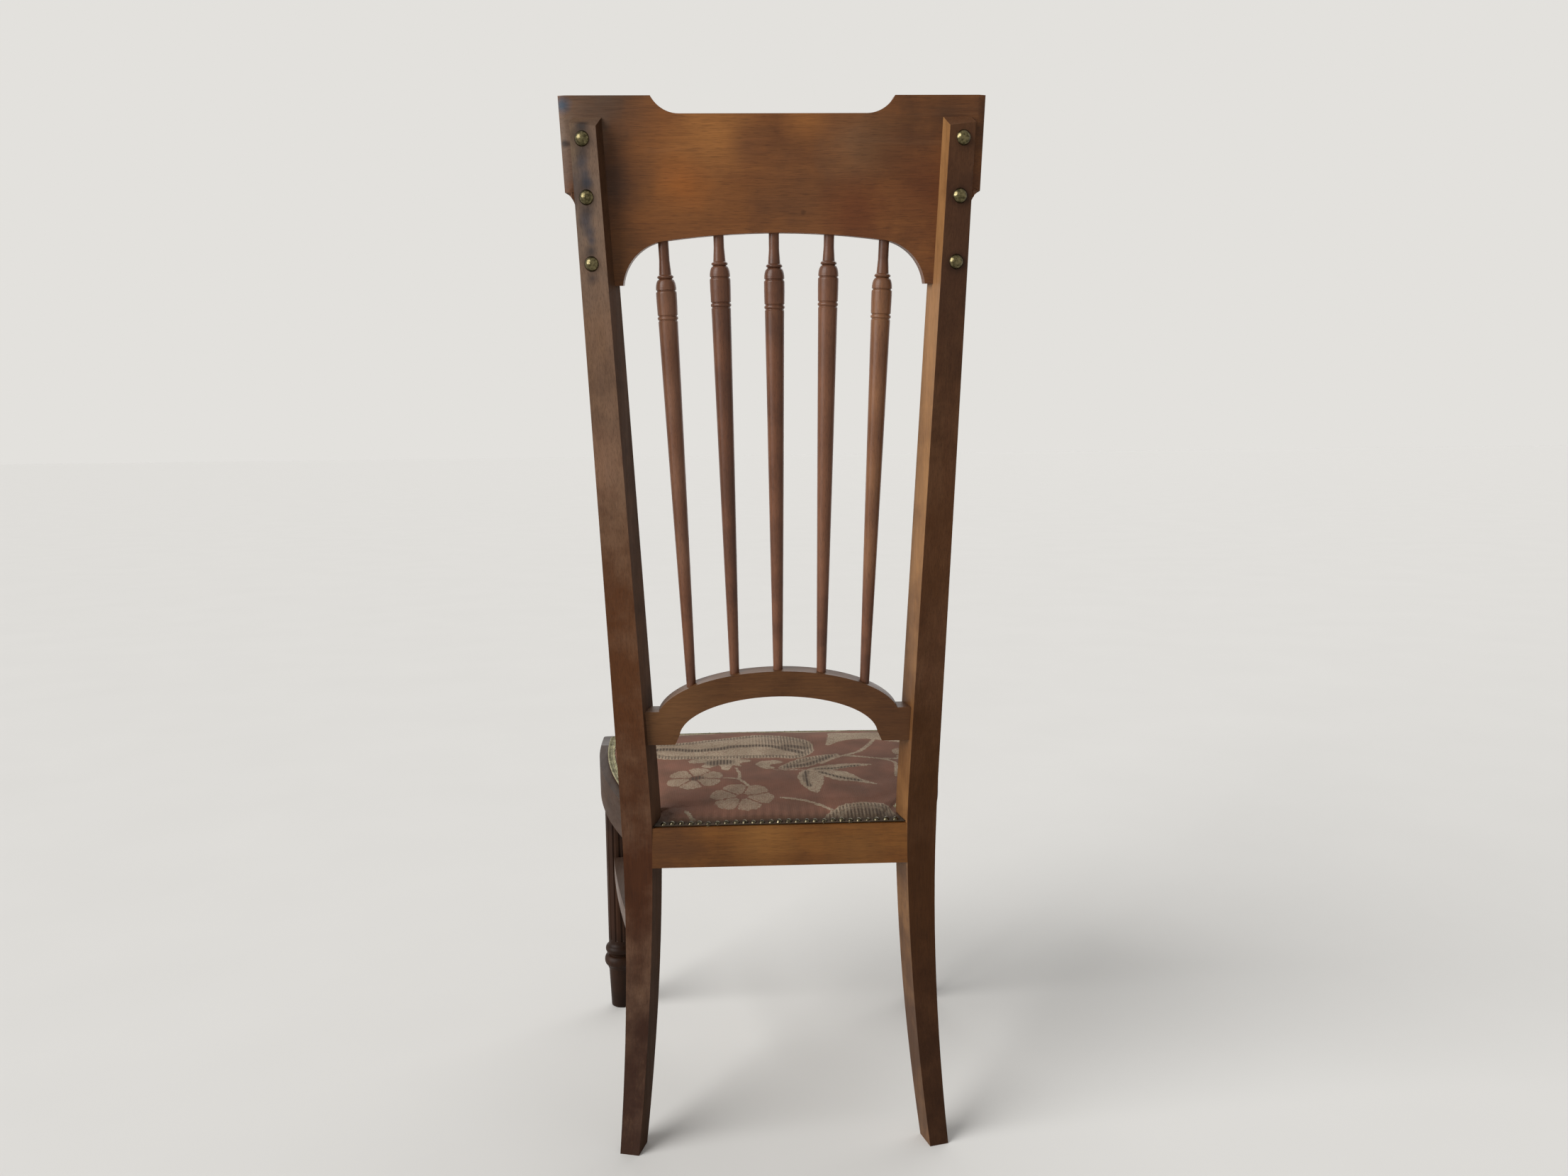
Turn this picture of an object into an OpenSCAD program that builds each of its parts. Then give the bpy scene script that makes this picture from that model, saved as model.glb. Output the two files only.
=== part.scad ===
// High-back side chair in stained hardwood: two sabre rear posts turned a little outwards, a shaped
// crest board lapped into their fronts and held by domed studs, five fanned spindles over a low arched
// rail, a bow-sided seat frame on turned and fluted front legs, and a tight, nailed tapestry seat.
// Millimetres. +Z is up, the sitter faces -Y, and the sitter's left is +X. The origin is on the floor,
// at the middle of the chair's bounding box.

/* [Overall sizes] */
// Height of the seat frame's top at the back
seat_h = 430; // [380:1:500]
// Height of the rear posts
post_h = 1329; // [1150:1:1450]
// Width of the seat across its front corners
seat_front_w = 547; // [500:1:640]
// Depth of the seat, from the rear rail's back to the front rail's ends, along the seat
seat_depth = 434; // [400:1:500]
// Clear width between the rear posts' back edges at the seat
back_inner_w = 343; // [300:1:400]
// Rise of the seat towards its front, in degrees
seat_slope = 3.3; // [0:0.1:5]
// How far the seat and its front legs stand to the sitter's left of the back's middle
seat_shift = 5; // [0:0.5:8]

/* [Rear posts] */
// Turn of each rear post in plan, so that its back looks outwards, in degrees
post_turn = 15; // [0:0.5:18]
// Lean of the straight upper part, in degrees
post_rake = 6.7; // [4:0.1:9]
// Height at which a post stands exactly upright
post_upright_h = 385; // [340:1:400]
// Radius of the bend between seat and back
post_bend_r = 900; // [500:10:1200]
// How far a foot sweeps back
foot_sweep = 64; // [30:1:80]
// How far a foot's inner edge moves outwards
foot_splay = 7.4; // [0:0.1:15]
// How far a post's top moves outwards
top_lean = 13.2; // [0:0.1:25]
// Post width at the seat
post_w = 42.8; // [36:0.1:50]
// Post width at the top
post_top_w = 33; // [28:0.1:40]
// Post width at the foot
post_foot_w = 26.3; // [22:0.1:36]
// Post depth above the seat
post_depth = 41; // [36:0.5:50]
// Post depth at the foot
post_foot_depth = 34; // [28:0.5:40]
// Height of the sloped cut on a post's top
post_top_cut = 12; // [4:0.5:16]

/* [Crest board] */
// Thickness of the crest board
crest_t = 24; // [18:0.5:28]
// How far its back lies in front of the posts' backs
crest_set = 22; // [18:0.5:26]
// Rise of the horns above the posts
crest_rise = 25; // [10:1:40]
// Depth of the whole board, from the horns' tops to the ears' ends
crest_ear_h = 221; // [190:1:260]
// Depth of the board's outer ends, down to the scooped corner
crest_end_h = 111; // [90:1:140]
// Drop from the horns' tops to the middle of the top edge
crest_dip = 20.5; // [10:0.5:35]
// Length of each horn, from the board's end
horn_len = 110; // [80:1:130]
// Overhang past a post's outer edge
crest_over = 13; // [8:0.5:20]
// Radius of the scooped lower corner
scoop_r = 22; // [16:0.5:30]
// Radius of the hollow between horn and top edge
cavetto_r = 38.4; // [26:0.1:60]
// Rise of the arch's crown above the ears' ends
arch_rise = 62; // [45:1:80]
// Radius of the arch's flat crown
arch_crown_r = 1000; // [700:10:2000]
// Radius of the arch's corners
arch_corner_r = 60; // [40:1:70]
// Width of an ear's flat end beside the post
ear_end_w = 10; // [6:0.5:16]
// Width of the bevel along the board's back edges
crest_bevel_w = 9; // [3:0.5:12]
// Depth of that bevel
crest_bevel_d = 4; // [2:0.5:8]

/* [Lower arch rail] */
// Thickness of the arch rail
arch_t = 25; // [18:0.5:28]
// How far its back lies in front of the posts' backs
arch_set = 8; // [4:0.5:12]
// Height of the arch's top above the seat frame, along the back
arch_top_h = 214; // [180:1:260]
// Half height of the outer ellipse
arch_out_b = 65.8; // [50:0.5:80]
// Gap between the outer ellipse's end and the post
arch_out_gap = 16.5; // [8:0.5:20]
// Depth of the rail at its crown
arch_crown_h = 34.5; // [26:0.5:44]
// Half width of the inner ellipse
arch_in_a = 132; // [110:1:140]
// Half height of the inner ellipse
arch_in_b = 55; // [40:0.5:60]
// Depth of the lugs that meet the posts
lug_h = 46; // [38:0.5:56]
// Length of a lug's slanted end
lug_cut = 7; // [4:0.5:14]
// Height of a lug's top above the ends of the outer ellipse
lug_step = 13; // [6:0.5:20]

/* [Spindles] */
// Pitch of the spindles at the arch rail
spindle_low_pitch = 57.5; // [45:0.5:65]
// Pitch of the spindles at the crest board
spindle_high_pitch = 68.3; // [50:0.1:75]
// Diameter at the foot
spindle_foot_d = 12.5; // [9:0.1:14]
// Largest diameter of the long taper
spindle_taper_d = 24.4; // [18:0.1:26]
// Diameter of the turned barrel
spindle_barrel_d = 25.8; // [18:0.1:27]
// Diameter of the neck
spindle_neck_d = 13; // [9:0.1:14]
// Length of the neck on the middle spindle
spindle_neck_len = 35.5; // [25:0.5:50]
// How much higher the turning sits on the four side spindles
spindle_side_rise = 7.5; // [0:0.5:12]
// How deep both ends go into their bores
spindle_tenon = 13; // [8:0.5:16]
// Length of the turned barrel, from the taper's end to the collar's top
spindle_barrel_len = 58; // [50:1:75]

/* [Seat frame] */
// Height of all the seat rails
rail_h = 55; // [45:1:65]
// Thickness of the rear rail
rear_rail_t = 24; // [18:0.5:28]
// Thickness of the bowed side rails
side_rail_t = 28; // [22:0.5:34]
// Plan radius of the side rails' outer face
side_bow_r = 770; // [650:10:1200]
// Distance from the front corners back to where the side bow starts
side_bow_start = 33; // [10:1:60]
// Depth of the front rail at its ends, front to back
front_rail_d = 51; // [46:1:60]
// Forward bow of the front rail at its middle
front_bow = 10; // [4:0.5:20]
// Radius of the front rail's upright corner edges
front_corner_r = 6; // [2:0.5:12]
// Length of the tenons of rails and stretchers
tenon_len = 15; // [10:0.5:16]
// Thickness of those tenons
tenon_t = 9; // [6:0.5:12]
// Wood above and below a seat rail's tenon
rail_shoulder = 8; // [5:0.5:14]
// Diameter of the dowels between the front and side rails
dowel_d = 9; // [6:0.5:12]
// Size of the corner blocks along each rail
block_leg = 58; // [40:1:70]
// Height of the corner blocks
block_h = 32; // [24:1:40]
// Depth of the blocks' tops below the frame's top
block_drop = 8; // [4:0.5:14]

/* [Front legs] */
// Distance of a leg's axis from the seat's outer side
leg_inset_x = 21; // [20:0.5:34]
// Distance of a leg's axis behind the front rail's ends
leg_inset_y = 33; // [28:0.5:36]
// Diameter of the fluted shaft
leg_shaft_d = 39; // [34:0.5:44]
// Diameter of the larger ring
leg_ring_d = 54; // [44:0.5:60]
// Diameter of the upper ring
leg_collar_d = 50; // [42:0.5:56]
// Diameter of the foot at its top
leg_foot_d = 40; // [34:0.5:44]
// Diameter of the foot at the floor
leg_toe_d = 35; // [28:0.5:40]
// Height of the plain foot
leg_foot_h = 67; // [50:1:90]
// Number of flutes
flute_n = 12; // [8:1:16]
// Diameter of the round cutter that makes a flute
flute_d = 6; // [4:0.1:7]
// Depth of a flute
flute_deep = 1.6; // [0.8:0.1:2.2]
// Diameter of the round tenon at a leg's top
leg_tenon_d = 20; // [14:0.5:24]
// Length of that tenon
leg_tenon_len = 35; // [25:1:45]

/* [Side stretchers] */
// Height of the stretchers' underside
stretcher_z = 234; // [180:1:300]
// Height of a stretcher
stretcher_h = 28; // [20:1:36]
// Thickness of a stretcher
stretcher_t = 18; // [14:0.5:22]
// Plan radius of a stretcher's outer face
stretcher_bow_r = 3000; // [1800:50:6000]
// Wood above and below a stretcher's tenons
stretcher_shoulder = 4; // [3:0.5:8]

/* [Seat] */
// Bare wood left along the front and sides
show_wood = 13; // [8:0.5:20]
// Height of the seat's crown above the frame
seat_crown = 17; // [12:0.5:30]
// Thickness of the tapestry cover
cover_t = 1.5; // [1:0.1:2.5]
// Width of the webbing straps
strap_w = 50; // [40:1:55]
// Thickness of a strap
strap_t = 1.4; // [1:0.1:2]
// Straps running front to back
straps_long = 3; // [2:1:4]
// Straps running side to side
straps_cross = 4; // [2:1:5]
// Width of the galloon braid
braid_w = 11; // [8:0.5:14]
// Thickness of the galloon braid
braid_t = 2; // [1.5:0.1:3]

/* [Studs, nails and screws] */
// Diameter of the domed studs in the posts
stud_d = 18.5; // [12:0.5:20]
// Height of a stud's dome
stud_dome_h = 6; // [3:0.5:7]
// Diameter of a stud's shank
stud_shank_d = 4.5; // [3:0.1:6]
// Length of a stud's shank
stud_shank_len = 30; // [24:1:34]
// Height of the first stud below a post's top
stud_drop_1 = 25; // [20:0.5:40]
// Height of the second stud below a post's top
stud_drop_2 = 91.5; // [70:0.5:110]
// Height of the third stud below a post's top
stud_drop_3 = 168.5; // [150:0.5:185]
// How far the studs stand outside a post's middle
stud_out = 2; // [0:0.5:4]
// Diameter of an upholstery nail's head
nail_d = 9.4; // [7:0.1:11]
// Height of a nail's head
nail_dome_h = 3; // [2:0.1:4]
// Spacing of the nails along the rear rail
nail_pitch = 12; // [11:0.5:20]
// Distance of the nails from the rear rail's back
nail_in = 9; // [8:0.5:14]
// Length of a nail's shank
nail_len = 11; // [8:0.5:14]
// Diameter of a corner block screw
screw_d = 4; // [3:0.1:5]
// Length of a corner block screw
screw_len = 36; // [30:1:40]

/* [Fits] */
// Clearance around tenons, shanks and spindle ends
fit_gap = 0.1; // [0.05:0.05:0.3]
// Air between the soft layers of the seat
soft_gap = 0.3; // [0.2:0.1:0.5]

/* [Hidden] */

spindle_n = 5;
arc_fn = 360;
turn_fn = 64;
small_fn = 32;
far = 2000;

// How far a tenon starts inside its own piece
root = 6;

walnut = "#6b3f24";
dark_walnut = "#54301d";
honey_walnut = "#8a5a30";
under_wood = "#9c7a50";
brass = "#8f7d45";
steel = "#8c8880";
jute = "#a98f62";
tapestry = "#8f5f4c";
braid_thread = "#a9a07a";

// Rear post: outline of its back edge in its own upright plane, s backwards against height z
bend_top_z = post_upright_h + post_bend_r * sin(post_rake);
bend_top_s = post_bend_r * (1 - cos(post_rake));
function sweep_r(sag) = (pow(post_upright_h, 2) + pow(sag, 2)) / (2 * sag);
foot_back_r = sweep_r(foot_sweep);
foot_front_r = sweep_r(foot_sweep + post_depth - post_foot_depth);
function sag_at(r, d) = r - sqrt(pow(r, 2) - pow(d, 2));
function post_s(z) = z >= bend_top_z ? bend_top_s + (z - bend_top_z) * tan(post_rake)
    : z >= post_upright_h ? sag_at(post_bend_r, z - post_upright_h)
    : sag_at(foot_back_r, post_upright_h - z);
function post_front_s(z) = -post_depth + (z >= post_upright_h
    ? sag_at(post_bend_r + post_depth, z - post_upright_h)
    : sag_at(foot_front_r, post_upright_h - z));
function up_share(z) = max(z - seat_h, 0) / (post_h - seat_h);
function down_share(z) = max(seat_h - z, 0) / seat_h;
function post_t_in(z) = top_lean * up_share(z) + foot_splay * down_share(z);
function post_width(z) = post_w + (post_top_w - post_w) * up_share(z)
    + (post_foot_w - post_w) * down_share(z);

// Places on a post's back face: across x, backwards y, at height z
function post_x(z, t) = back_inner_w / 2 + post_s(z) * sin(post_turn) + t * cos(post_turn);
function post_y(z, t) = post_s(z) * cos(post_turn) - t * sin(post_turn);
function post_x_in(z) = post_x(z, post_t_in(z));
function post_x_out(z) = post_x(z, post_t_in(z) + post_width(z));

// Plane of the back, through the inner back edges of both posts' straight parts
back_tilt = atan((post_y(post_h, top_lean) - post_y(bend_top_z, post_t_in(bend_top_z)))
    / (post_h - bend_top_z));
back_foot_y = post_y(post_h, top_lean) - (post_h - seat_h) * tan(back_tilt);
function along_back(z) = (z - seat_h) / cos(back_tilt);
function back_z(v) = seat_h + v * cos(back_tilt);

// Crest board, in the plane of the back
crest_top_v = along_back(post_h) + crest_rise;
crest_ear_v = crest_top_v - crest_ear_h;
crest_end_v = crest_top_v - crest_end_h;
crest_mid_v = crest_top_v - crest_dip;
scoop_v = crest_end_v - sqrt(pow(scoop_r, 2) - pow(scoop_r + 1 - crest_over, 2));
crest_half_top = post_x_out(back_z(crest_top_v)) + crest_over;
horn_x = crest_half_top - horn_len;
cavetto_x = horn_x - sqrt(pow(cavetto_r, 2) - pow(cavetto_r - crest_dip, 2));
arch_crown_v = crest_ear_v + arch_rise;
post_in_at_ear = post_x_in(back_z(crest_ear_v)) - crest_set * sin(post_turn);
crest_arch_half = post_in_at_ear - ear_end_w;
arch_corner_x = crest_arch_half - arch_corner_r;
arch_corner_v = arch_crown_v - arch_crown_r
    + sqrt(pow(arch_crown_r - arch_corner_r, 2) - pow(arch_corner_x, 2));
arch_touch_x = arch_corner_x * arch_crown_r / (arch_crown_r - arch_corner_r);

// Lower arch rail, in the same plane
arch_in_v = arch_top_h - arch_crown_h - arch_in_b;
arch_out_v = arch_top_h - arch_out_b;
arch_mid_z = back_z(arch_out_v);
arch_out_a = post_x_in(arch_mid_z) - arch_out_gap;
lug_top_v = arch_out_v + lug_step;
lug_low_v = lug_top_v - lug_h;
lug_inner_x = arch_in_a + lug_cut - 1.5;
arch_root_x = arch_in_a + 20;

// Spindles
spindle_low_w = -arch_set - arch_t / 2;
spindle_high_w = -crest_set - crest_t / 2;
function ellipse_v(x, a, b, low) = low + b * sqrt(1 - pow(x / a, 2));
function crest_arch_v(x) = abs(x) <= arch_touch_x
    ? arch_crown_v - sag_at(arch_crown_r, abs(x))
    : arch_corner_v + sqrt(pow(arch_corner_r, 2) - pow(abs(x) - arch_corner_x, 2));
function spindle_index(i) = i - (spindle_n + 1) / 2;
function spindle_low(i) = let (x = spindle_index(i) * spindle_low_pitch)
    [x, spindle_low_w, ellipse_v(x, arch_out_a, arch_out_b, arch_out_v)];
function spindle_high(i) = let (x = spindle_index(i) * spindle_high_pitch)
    [x, spindle_high_w, crest_arch_v(x)];
spindle_mid_len = norm(spindle_high((spindle_n + 1) / 2) - spindle_low((spindle_n + 1) / 2));
// Height of the turning's upper end on a spindle
function turning_top(i) =
    spindle_mid_len - spindle_neck_len + (spindle_index(i) == 0 ? 0 : spindle_side_rise);

// Seat frame, measured along the sloping seat: x across, y backwards from the rear rail's back
front_half = seat_front_w / 2;
bow_y = -seat_depth + side_bow_start;
bow_x = front_half - side_bow_r;
front_rail_back = -seat_depth + front_rail_d;
front_bow_r = (pow(front_half, 2) + pow(front_bow, 2)) / (2 * front_bow);
front_corner_x = front_half - front_corner_r;

// Middle of a side rail's rear end, on the post's front face
side_rail_end_y = -post_depth * cos(post_turn) - 0.35 * post_w * sin(post_turn);
side_rail_end_x = bow_x + sqrt(pow(side_bow_r - side_rail_t / 2, 2) - pow(side_rail_end_y - bow_y, 2));

// Front legs stand upright, so their tops are cut to the sloping frame
leg_x = front_half - leg_inset_x;
leg_y = -(seat_depth - leg_inset_y) * cos(seat_slope) - rail_h * sin(seat_slope);
leg_top_z = seat_h + (seat_depth - leg_inset_y) * sin(seat_slope) - rail_h * cos(seat_slope);
leg_r = leg_shaft_d / 2;
leg_ring_z = leg_foot_h + 14;
leg_collar_z = leg_ring_z + 19;
flute_low_z = leg_collar_z + 18;
flute_high_z = leg_top_z - 24;

// Stretchers: from a leg's axis to a post's front face
stretcher_mid_z = stretcher_z + stretcher_h / 2;
stretcher_stop_s = post_front_s(stretcher_mid_z);
stretcher_back_y = stretcher_stop_s * cos(post_turn)
    - (post_t_in(stretcher_mid_z) + post_width(stretcher_mid_z)) * sin(post_turn);
stretcher_back_x = back_inner_w / 2 + stretcher_stop_s * sin(post_turn)
    + (post_t_in(stretcher_mid_z) + post_width(stretcher_mid_z)) * cos(post_turn) - seat_shift;
stretcher_front_x = leg_x + 7.5;
stretcher_run = stretcher_back_y - leg_y;
stretcher_chord = norm([stretcher_run, stretcher_front_x - stretcher_back_x]);
stretcher_angle = atan((stretcher_front_x - stretcher_back_x) / stretcher_run);

// Soft layers, heights above the seat frame's top
hessian_t = 1;
hessian_z = 2 * strap_t;
pad_z = hessian_z + hessian_t + soft_gap;
pad_edge = show_wood + braid_w + 4;
pad_back = nail_in + nail_d / 2 + 1;
layer_in = cover_t + soft_gap;
cover_back = nail_in - nail_d / 2 - 1;
edge_rise = 7.5;
shoulder_rise = 0.72 * seat_crown;
shoulder_in = 26;
crown_in = 95;

// The chair's box: its front is the front rail's lower edge, its back the posts' upper edge
chair_front_y = -(seat_depth + front_bow) * cos(seat_slope) - rail_h * sin(seat_slope);
chair_back_y = post_y(post_h - post_top_cut, post_t_in(post_h - post_top_cut));
shift_y = -(chair_front_y + chair_back_y) / 2;

// Frames of reference

module chair_frame() {
    translate([0, shift_y, 0]) children();
}

module sided(side) {
    if (side > 0) children();
    else mirror([1, 0, 0]) children();
}

// The same for what stands on the seat's own middle
module seat_sided(side) {
    translate([seat_shift, 0, 0]) sided(side) children();
}

// The seat's shift, as it reads on one side
module shifted(side) {
    translate([side * seat_shift, 0, 0]) children();
}

module post_frame() {
    translate([back_inner_w / 2, 0, 0]) rotate([0, 0, -post_turn]) children();
}

module back_frame() {
    translate([0, back_foot_y, seat_h]) rotate([-back_tilt, 0, 0]) children();
}

module seat_frame() {
    translate([0, 0, seat_h]) rotate([-seat_slope, 0, 0]) children();
}

// A board in the plane of the back, its back face a set distance in front of the posts' backs
module back_board(set, thick) {
    back_frame() translate([0, -set, 0]) rotate([90, 0, 0]) linear_extrude(thick) children();
}

// Rear posts

module post_side_outline() {
    bend_centre = [post_bend_r, post_upright_h];
    rise = (post_h - bend_top_z) / cos(post_rake) + post_top_cut;
    lap = 2;
    // Lower part: between the front arc and the back arc
    intersection() {
        translate([-far / 2, 0]) square([far, post_upright_h]);
        difference() {
            translate([foot_front_r - post_depth, post_upright_h]) circle(foot_front_r, $fn = arc_fn);
            translate([foot_back_r, post_upright_h]) circle(foot_back_r, $fn = arc_fn);
        }
        translate([-post_depth - 1, 0]) square([foot_sweep + post_depth + 2, post_upright_h]);
    }
    // The bend: a slice of a ring
    intersection() {
        translate(bend_centre) difference() {
            circle(post_bend_r + post_depth, $fn = arc_fn);
            circle(post_bend_r, $fn = arc_fn);
        }
        translate(bend_centre) polygon([[0, 0], [-far, 0], [-far, far * tan(post_rake)]]);
    }
    // The straight part above it
    translate(bend_centre) rotate(-post_rake)
        translate([-post_bend_r - post_depth, -lap]) square([post_depth, rise + lap]);
}

module post_front_outline() {
    top = post_h + 2 * post_top_cut;
    polygon([[foot_splay, 0], [0, seat_h], [post_t_in(top), top],
        [post_t_in(top) + post_width(top), top], [post_w, seat_h], [foot_splay + post_foot_w, 0]]);
}

// The post before its joints are cut, in its own frame
module post_blank() {
    intersection() {
        translate([-far / 4, 0, 0]) rotate([90, 0, 90]) linear_extrude(far / 2) post_side_outline();
        translate([0, far / 4, 0]) rotate([90, 0, 0]) linear_extrude(far / 2) post_front_outline();
    }
}

// Everything in front of the crest board's back, from its ears' ends upwards
module crest_lap() {
    back_frame() translate([0, -crest_set - far, crest_ear_v]) cube([far, far, far]);
}

// Everything above the sloping cut on the post's top
module post_top_waste() {
    cut_angle = atan(post_top_cut / crest_set);
    back_frame() translate([0, -crest_set, along_back(post_h)]) rotate([-cut_angle, 0, 0])
        translate([0, -far / 2, 0]) cube([far, far, far / 4]);
}

module rear_post(side) {
    color(side > 0 ? walnut : dark_walnut) chair_frame() sided(side) difference() {
        post_frame() post_blank();
        crest_lap();
        post_top_waste();
        arch_tenon(fit_gap);
        rear_rail_tenon(fit_gap);
        shifted(side) side_rail_tenon(fit_gap);
        shifted(side) stretcher_tenon(fit_gap);
        stud_places() stud_shank(fit_gap);
    }
}

// Crest board

module crest_half_outline() {
    out_top = post_x_out(back_z(crest_top_v));
    out_end = post_x_out(back_z(crest_end_v));
    out_scoop = post_x_out(back_z(scoop_v));
    out_ear = post_x_out(back_z(crest_ear_v));
    difference() {
        union() {
            polygon([[0, crest_ear_v + arch_rise / 2], [0, crest_top_v],
                [out_top + crest_over, crest_top_v], [out_end + crest_over, crest_end_v],
                [out_scoop + crest_over, scoop_v], [out_scoop, scoop_v], [crest_arch_half, scoop_v]]);
            polygon([[0, crest_ear_v], [0, scoop_v], [out_scoop + 1, scoop_v],
                [out_ear - crest_set * sin(post_turn) / 2, crest_ear_v]]);
        }
        translate([out_scoop + 1 + scoop_r, scoop_v]) circle(scoop_r, $fn = turn_fn);
        // Dip between the horns, with a hollow up to each horn
        translate([-1, crest_mid_v]) square([cavetto_x + 1, far]);
        translate([cavetto_x, crest_mid_v + cavetto_r]) circle(cavetto_r, $fn = arc_fn);
        // Arch over the spindles
        intersection() {
            translate([0, arch_crown_v - arch_crown_r]) circle(arch_crown_r, $fn = 4 * arc_fn);
            translate([-1, crest_ear_v - 1]) square([arch_touch_x + 1, arch_rise + 2]);
        }
        translate([arch_corner_x, arch_corner_v]) circle(arch_corner_r, $fn = arc_fn);
        translate([-1, crest_ear_v - 1]) square([crest_arch_half + 1, arch_corner_v - crest_ear_v + 1]);
    }
}

// A wedge that bevels the board's back edge along a line from a to b
module edge_bevel(a, b) {
    run = b - a;
    translate([a[0], 0, a[1]]) rotate([0, -atan2(run[1], run[0]), 0])
        translate([-far / 8, 0, 0]) rotate([90, 0, 90]) linear_extrude(norm(run) + far / 4)
            polygon([[1, 1], [1, -crest_bevel_w], [0, -crest_bevel_w],
                [-crest_bevel_d, 0], [-crest_bevel_d, 1]]);
}

module crest_rail() {
    out_top = post_x_out(back_z(crest_top_v)) + crest_over;
    out_end = post_x_out(back_z(crest_end_v)) + crest_over;
    color(walnut) chair_frame() difference() {
        for (side = [1, -1]) sided(side) difference() {
            back_board(crest_set, crest_t) crest_half_outline();
            // Bevel down the outer end, stopped at the scooped corner
            back_frame() translate([0, -crest_set, 0]) intersection() {
                edge_bevel([out_top, crest_top_v], [out_end, crest_end_v]);
                translate([0, -far / 2, crest_end_v]) cube(far);
            }
            stud_places() stud_shank(fit_gap);
        }
        for (i = [1 : spindle_n]) spindle_place(i) spindle_end_high(i, fit_gap);
    }
}

// Lower arch rail

module arch_half_outline() {
    reach = post_x_in(arch_mid_z) + tenon_len;
    difference() {
        union() {
            intersection() {
                translate([0, arch_out_v]) scaled_circle(arch_out_a, arch_out_b);
                translate([0, lug_low_v]) square([reach, far]);
            }
            translate([0, lug_low_v]) square([reach, lug_h]);
        }
        translate([0, arch_in_v]) scaled_circle(arch_in_a, arch_in_b);
        polygon([[-1, lug_low_v - 1], [-1, arch_in_v + 6], [arch_in_a - 1.2, arch_in_v + 6],
            [lug_inner_x, lug_low_v], [lug_inner_x, lug_low_v - 1]]);
    }
}

// An ellipse, as the polygon that its formula gives
module scaled_circle(a, b) {
    steps = 96;
    polygon([for (k = [0 : steps - 1]) [a * cos(k * 360 / steps), b * sin(k * 360 / steps)]]);
}

module arch_tenon(gap) {
    reach = post_x_in(arch_mid_z) + tenon_len - arch_set * sin(post_turn);
    back_frame()
        translate([arch_root_x, -arch_set - arch_t / 2 - tenon_t / 2 - gap, lug_low_v + root - gap])
        cube([reach - arch_root_x, tenon_t + 2 * gap, lug_h - 2 * root + 2 * gap]);
}

module lower_arch_rail() {
    color(honey_walnut) chair_frame() difference() {
        for (side = [1, -1]) sided(side) {
            difference() {
                back_board(arch_set, arch_t) arch_half_outline();
                post_frame() post_outside();
            }
            arch_tenon(0);
        }
        for (i = [1 : spindle_n]) spindle_place(i) spindle_end_low(fit_gap);
    }
}

// All that lies beyond a post's inner face, in the post's own frame
module post_outside() {
    top = post_h;
    translate([0, far / 4, 0]) rotate([90, 0, 0]) linear_extrude(far / 2)
        polygon([[foot_splay, 0], [0, seat_h], [post_t_in(top), top], [far, top], [far, 0]]);
}

// Spindles

// A frame at the spindle's foot, its Z axis along the spindle
module spindle_place(i) {
    low = spindle_low(i);
    run = spindle_high(i) - low;
    back_frame() translate(low)
        rotate([0, 0, atan2(run[1], run[0])]) rotate([0, acos(run[2] / norm(run)), 0]) children();
}

module spindle_end_low(gap) {
    translate([0, 0, -spindle_tenon - gap])
        cylinder(d = spindle_foot_d + 2 * gap, h = 2 * spindle_tenon, $fn = turn_fn);
}

module spindle_end_high(i, gap) {
    len = norm(spindle_high(i) - spindle_low(i));
    translate([0, 0, len - spindle_tenon])
        cylinder(d = spindle_neck_d + 2 * gap, h = 2 * spindle_tenon + gap, $fn = turn_fn);
}

// Radius of the long taper, a little fuller than a straight cone
function taper_r(share) =
    spindle_foot_d / 2 + (spindle_taper_d - spindle_foot_d) / 2 * (1.15 * share - 0.15 * pow(share, 2));

module spindle_outline(len, t) {
    steps = 12;
    taper_len = t - spindle_barrel_len;
    b = spindle_barrel_d / 2;
    n = spindle_neck_d / 2;
    groove = 1.4;
    polygon(concat(
        [[0, -spindle_tenon], [spindle_foot_d / 2, -spindle_tenon]],
        [for (k = [0 : steps]) [taper_r(k / steps), taper_len * k / steps]],
        // Groove, bead and groove under the barrel
        [[b - groove, t - 57], [b - groove, t - 56], [b - 0.3, t - 55.2], [b, t - 53.8]],
        [[b - 0.3, t - 52.4], [b - groove, t - 51.6], [b - groove, t - 50.6], [b - 0.3, t - 49.8]],
        // Barrel and the groove above it
        [[b, t - 35], [b, t - 23], [b - 0.3, t - 21.8], [b - groove, t - 21], [b - groove, t - 20]],
        // Rounded cup, collar and neck
        [for (k = [0 : 6]) [b - 4.2 + 4 * cos(k * 15), t - 19.2 + 12.4 * sin(k * 15)]],
        [[n + 1.5, t - 6.2], [b - 3.2, t - 5.2], [b - 2.6, t - 3.9], [b - 3.2, t - 2.6], [n + 1.2, t - 1.2]],
        [[n + 0.7, t + 6], [n, t + 16], [n, len + spindle_tenon], [0, len + spindle_tenon]]));
}

module spindle(i) {
    len = norm(spindle_high(i) - spindle_low(i));
    color(dark_walnut) chair_frame() spindle_place(i)
        rotate_extrude($fn = turn_fn) spindle_outline(len, turning_top(i));
}

// Seat frame

module seat_board(top, thick) {
    seat_frame() translate([0, 0, top - thick]) linear_extrude(thick) children();
}

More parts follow.
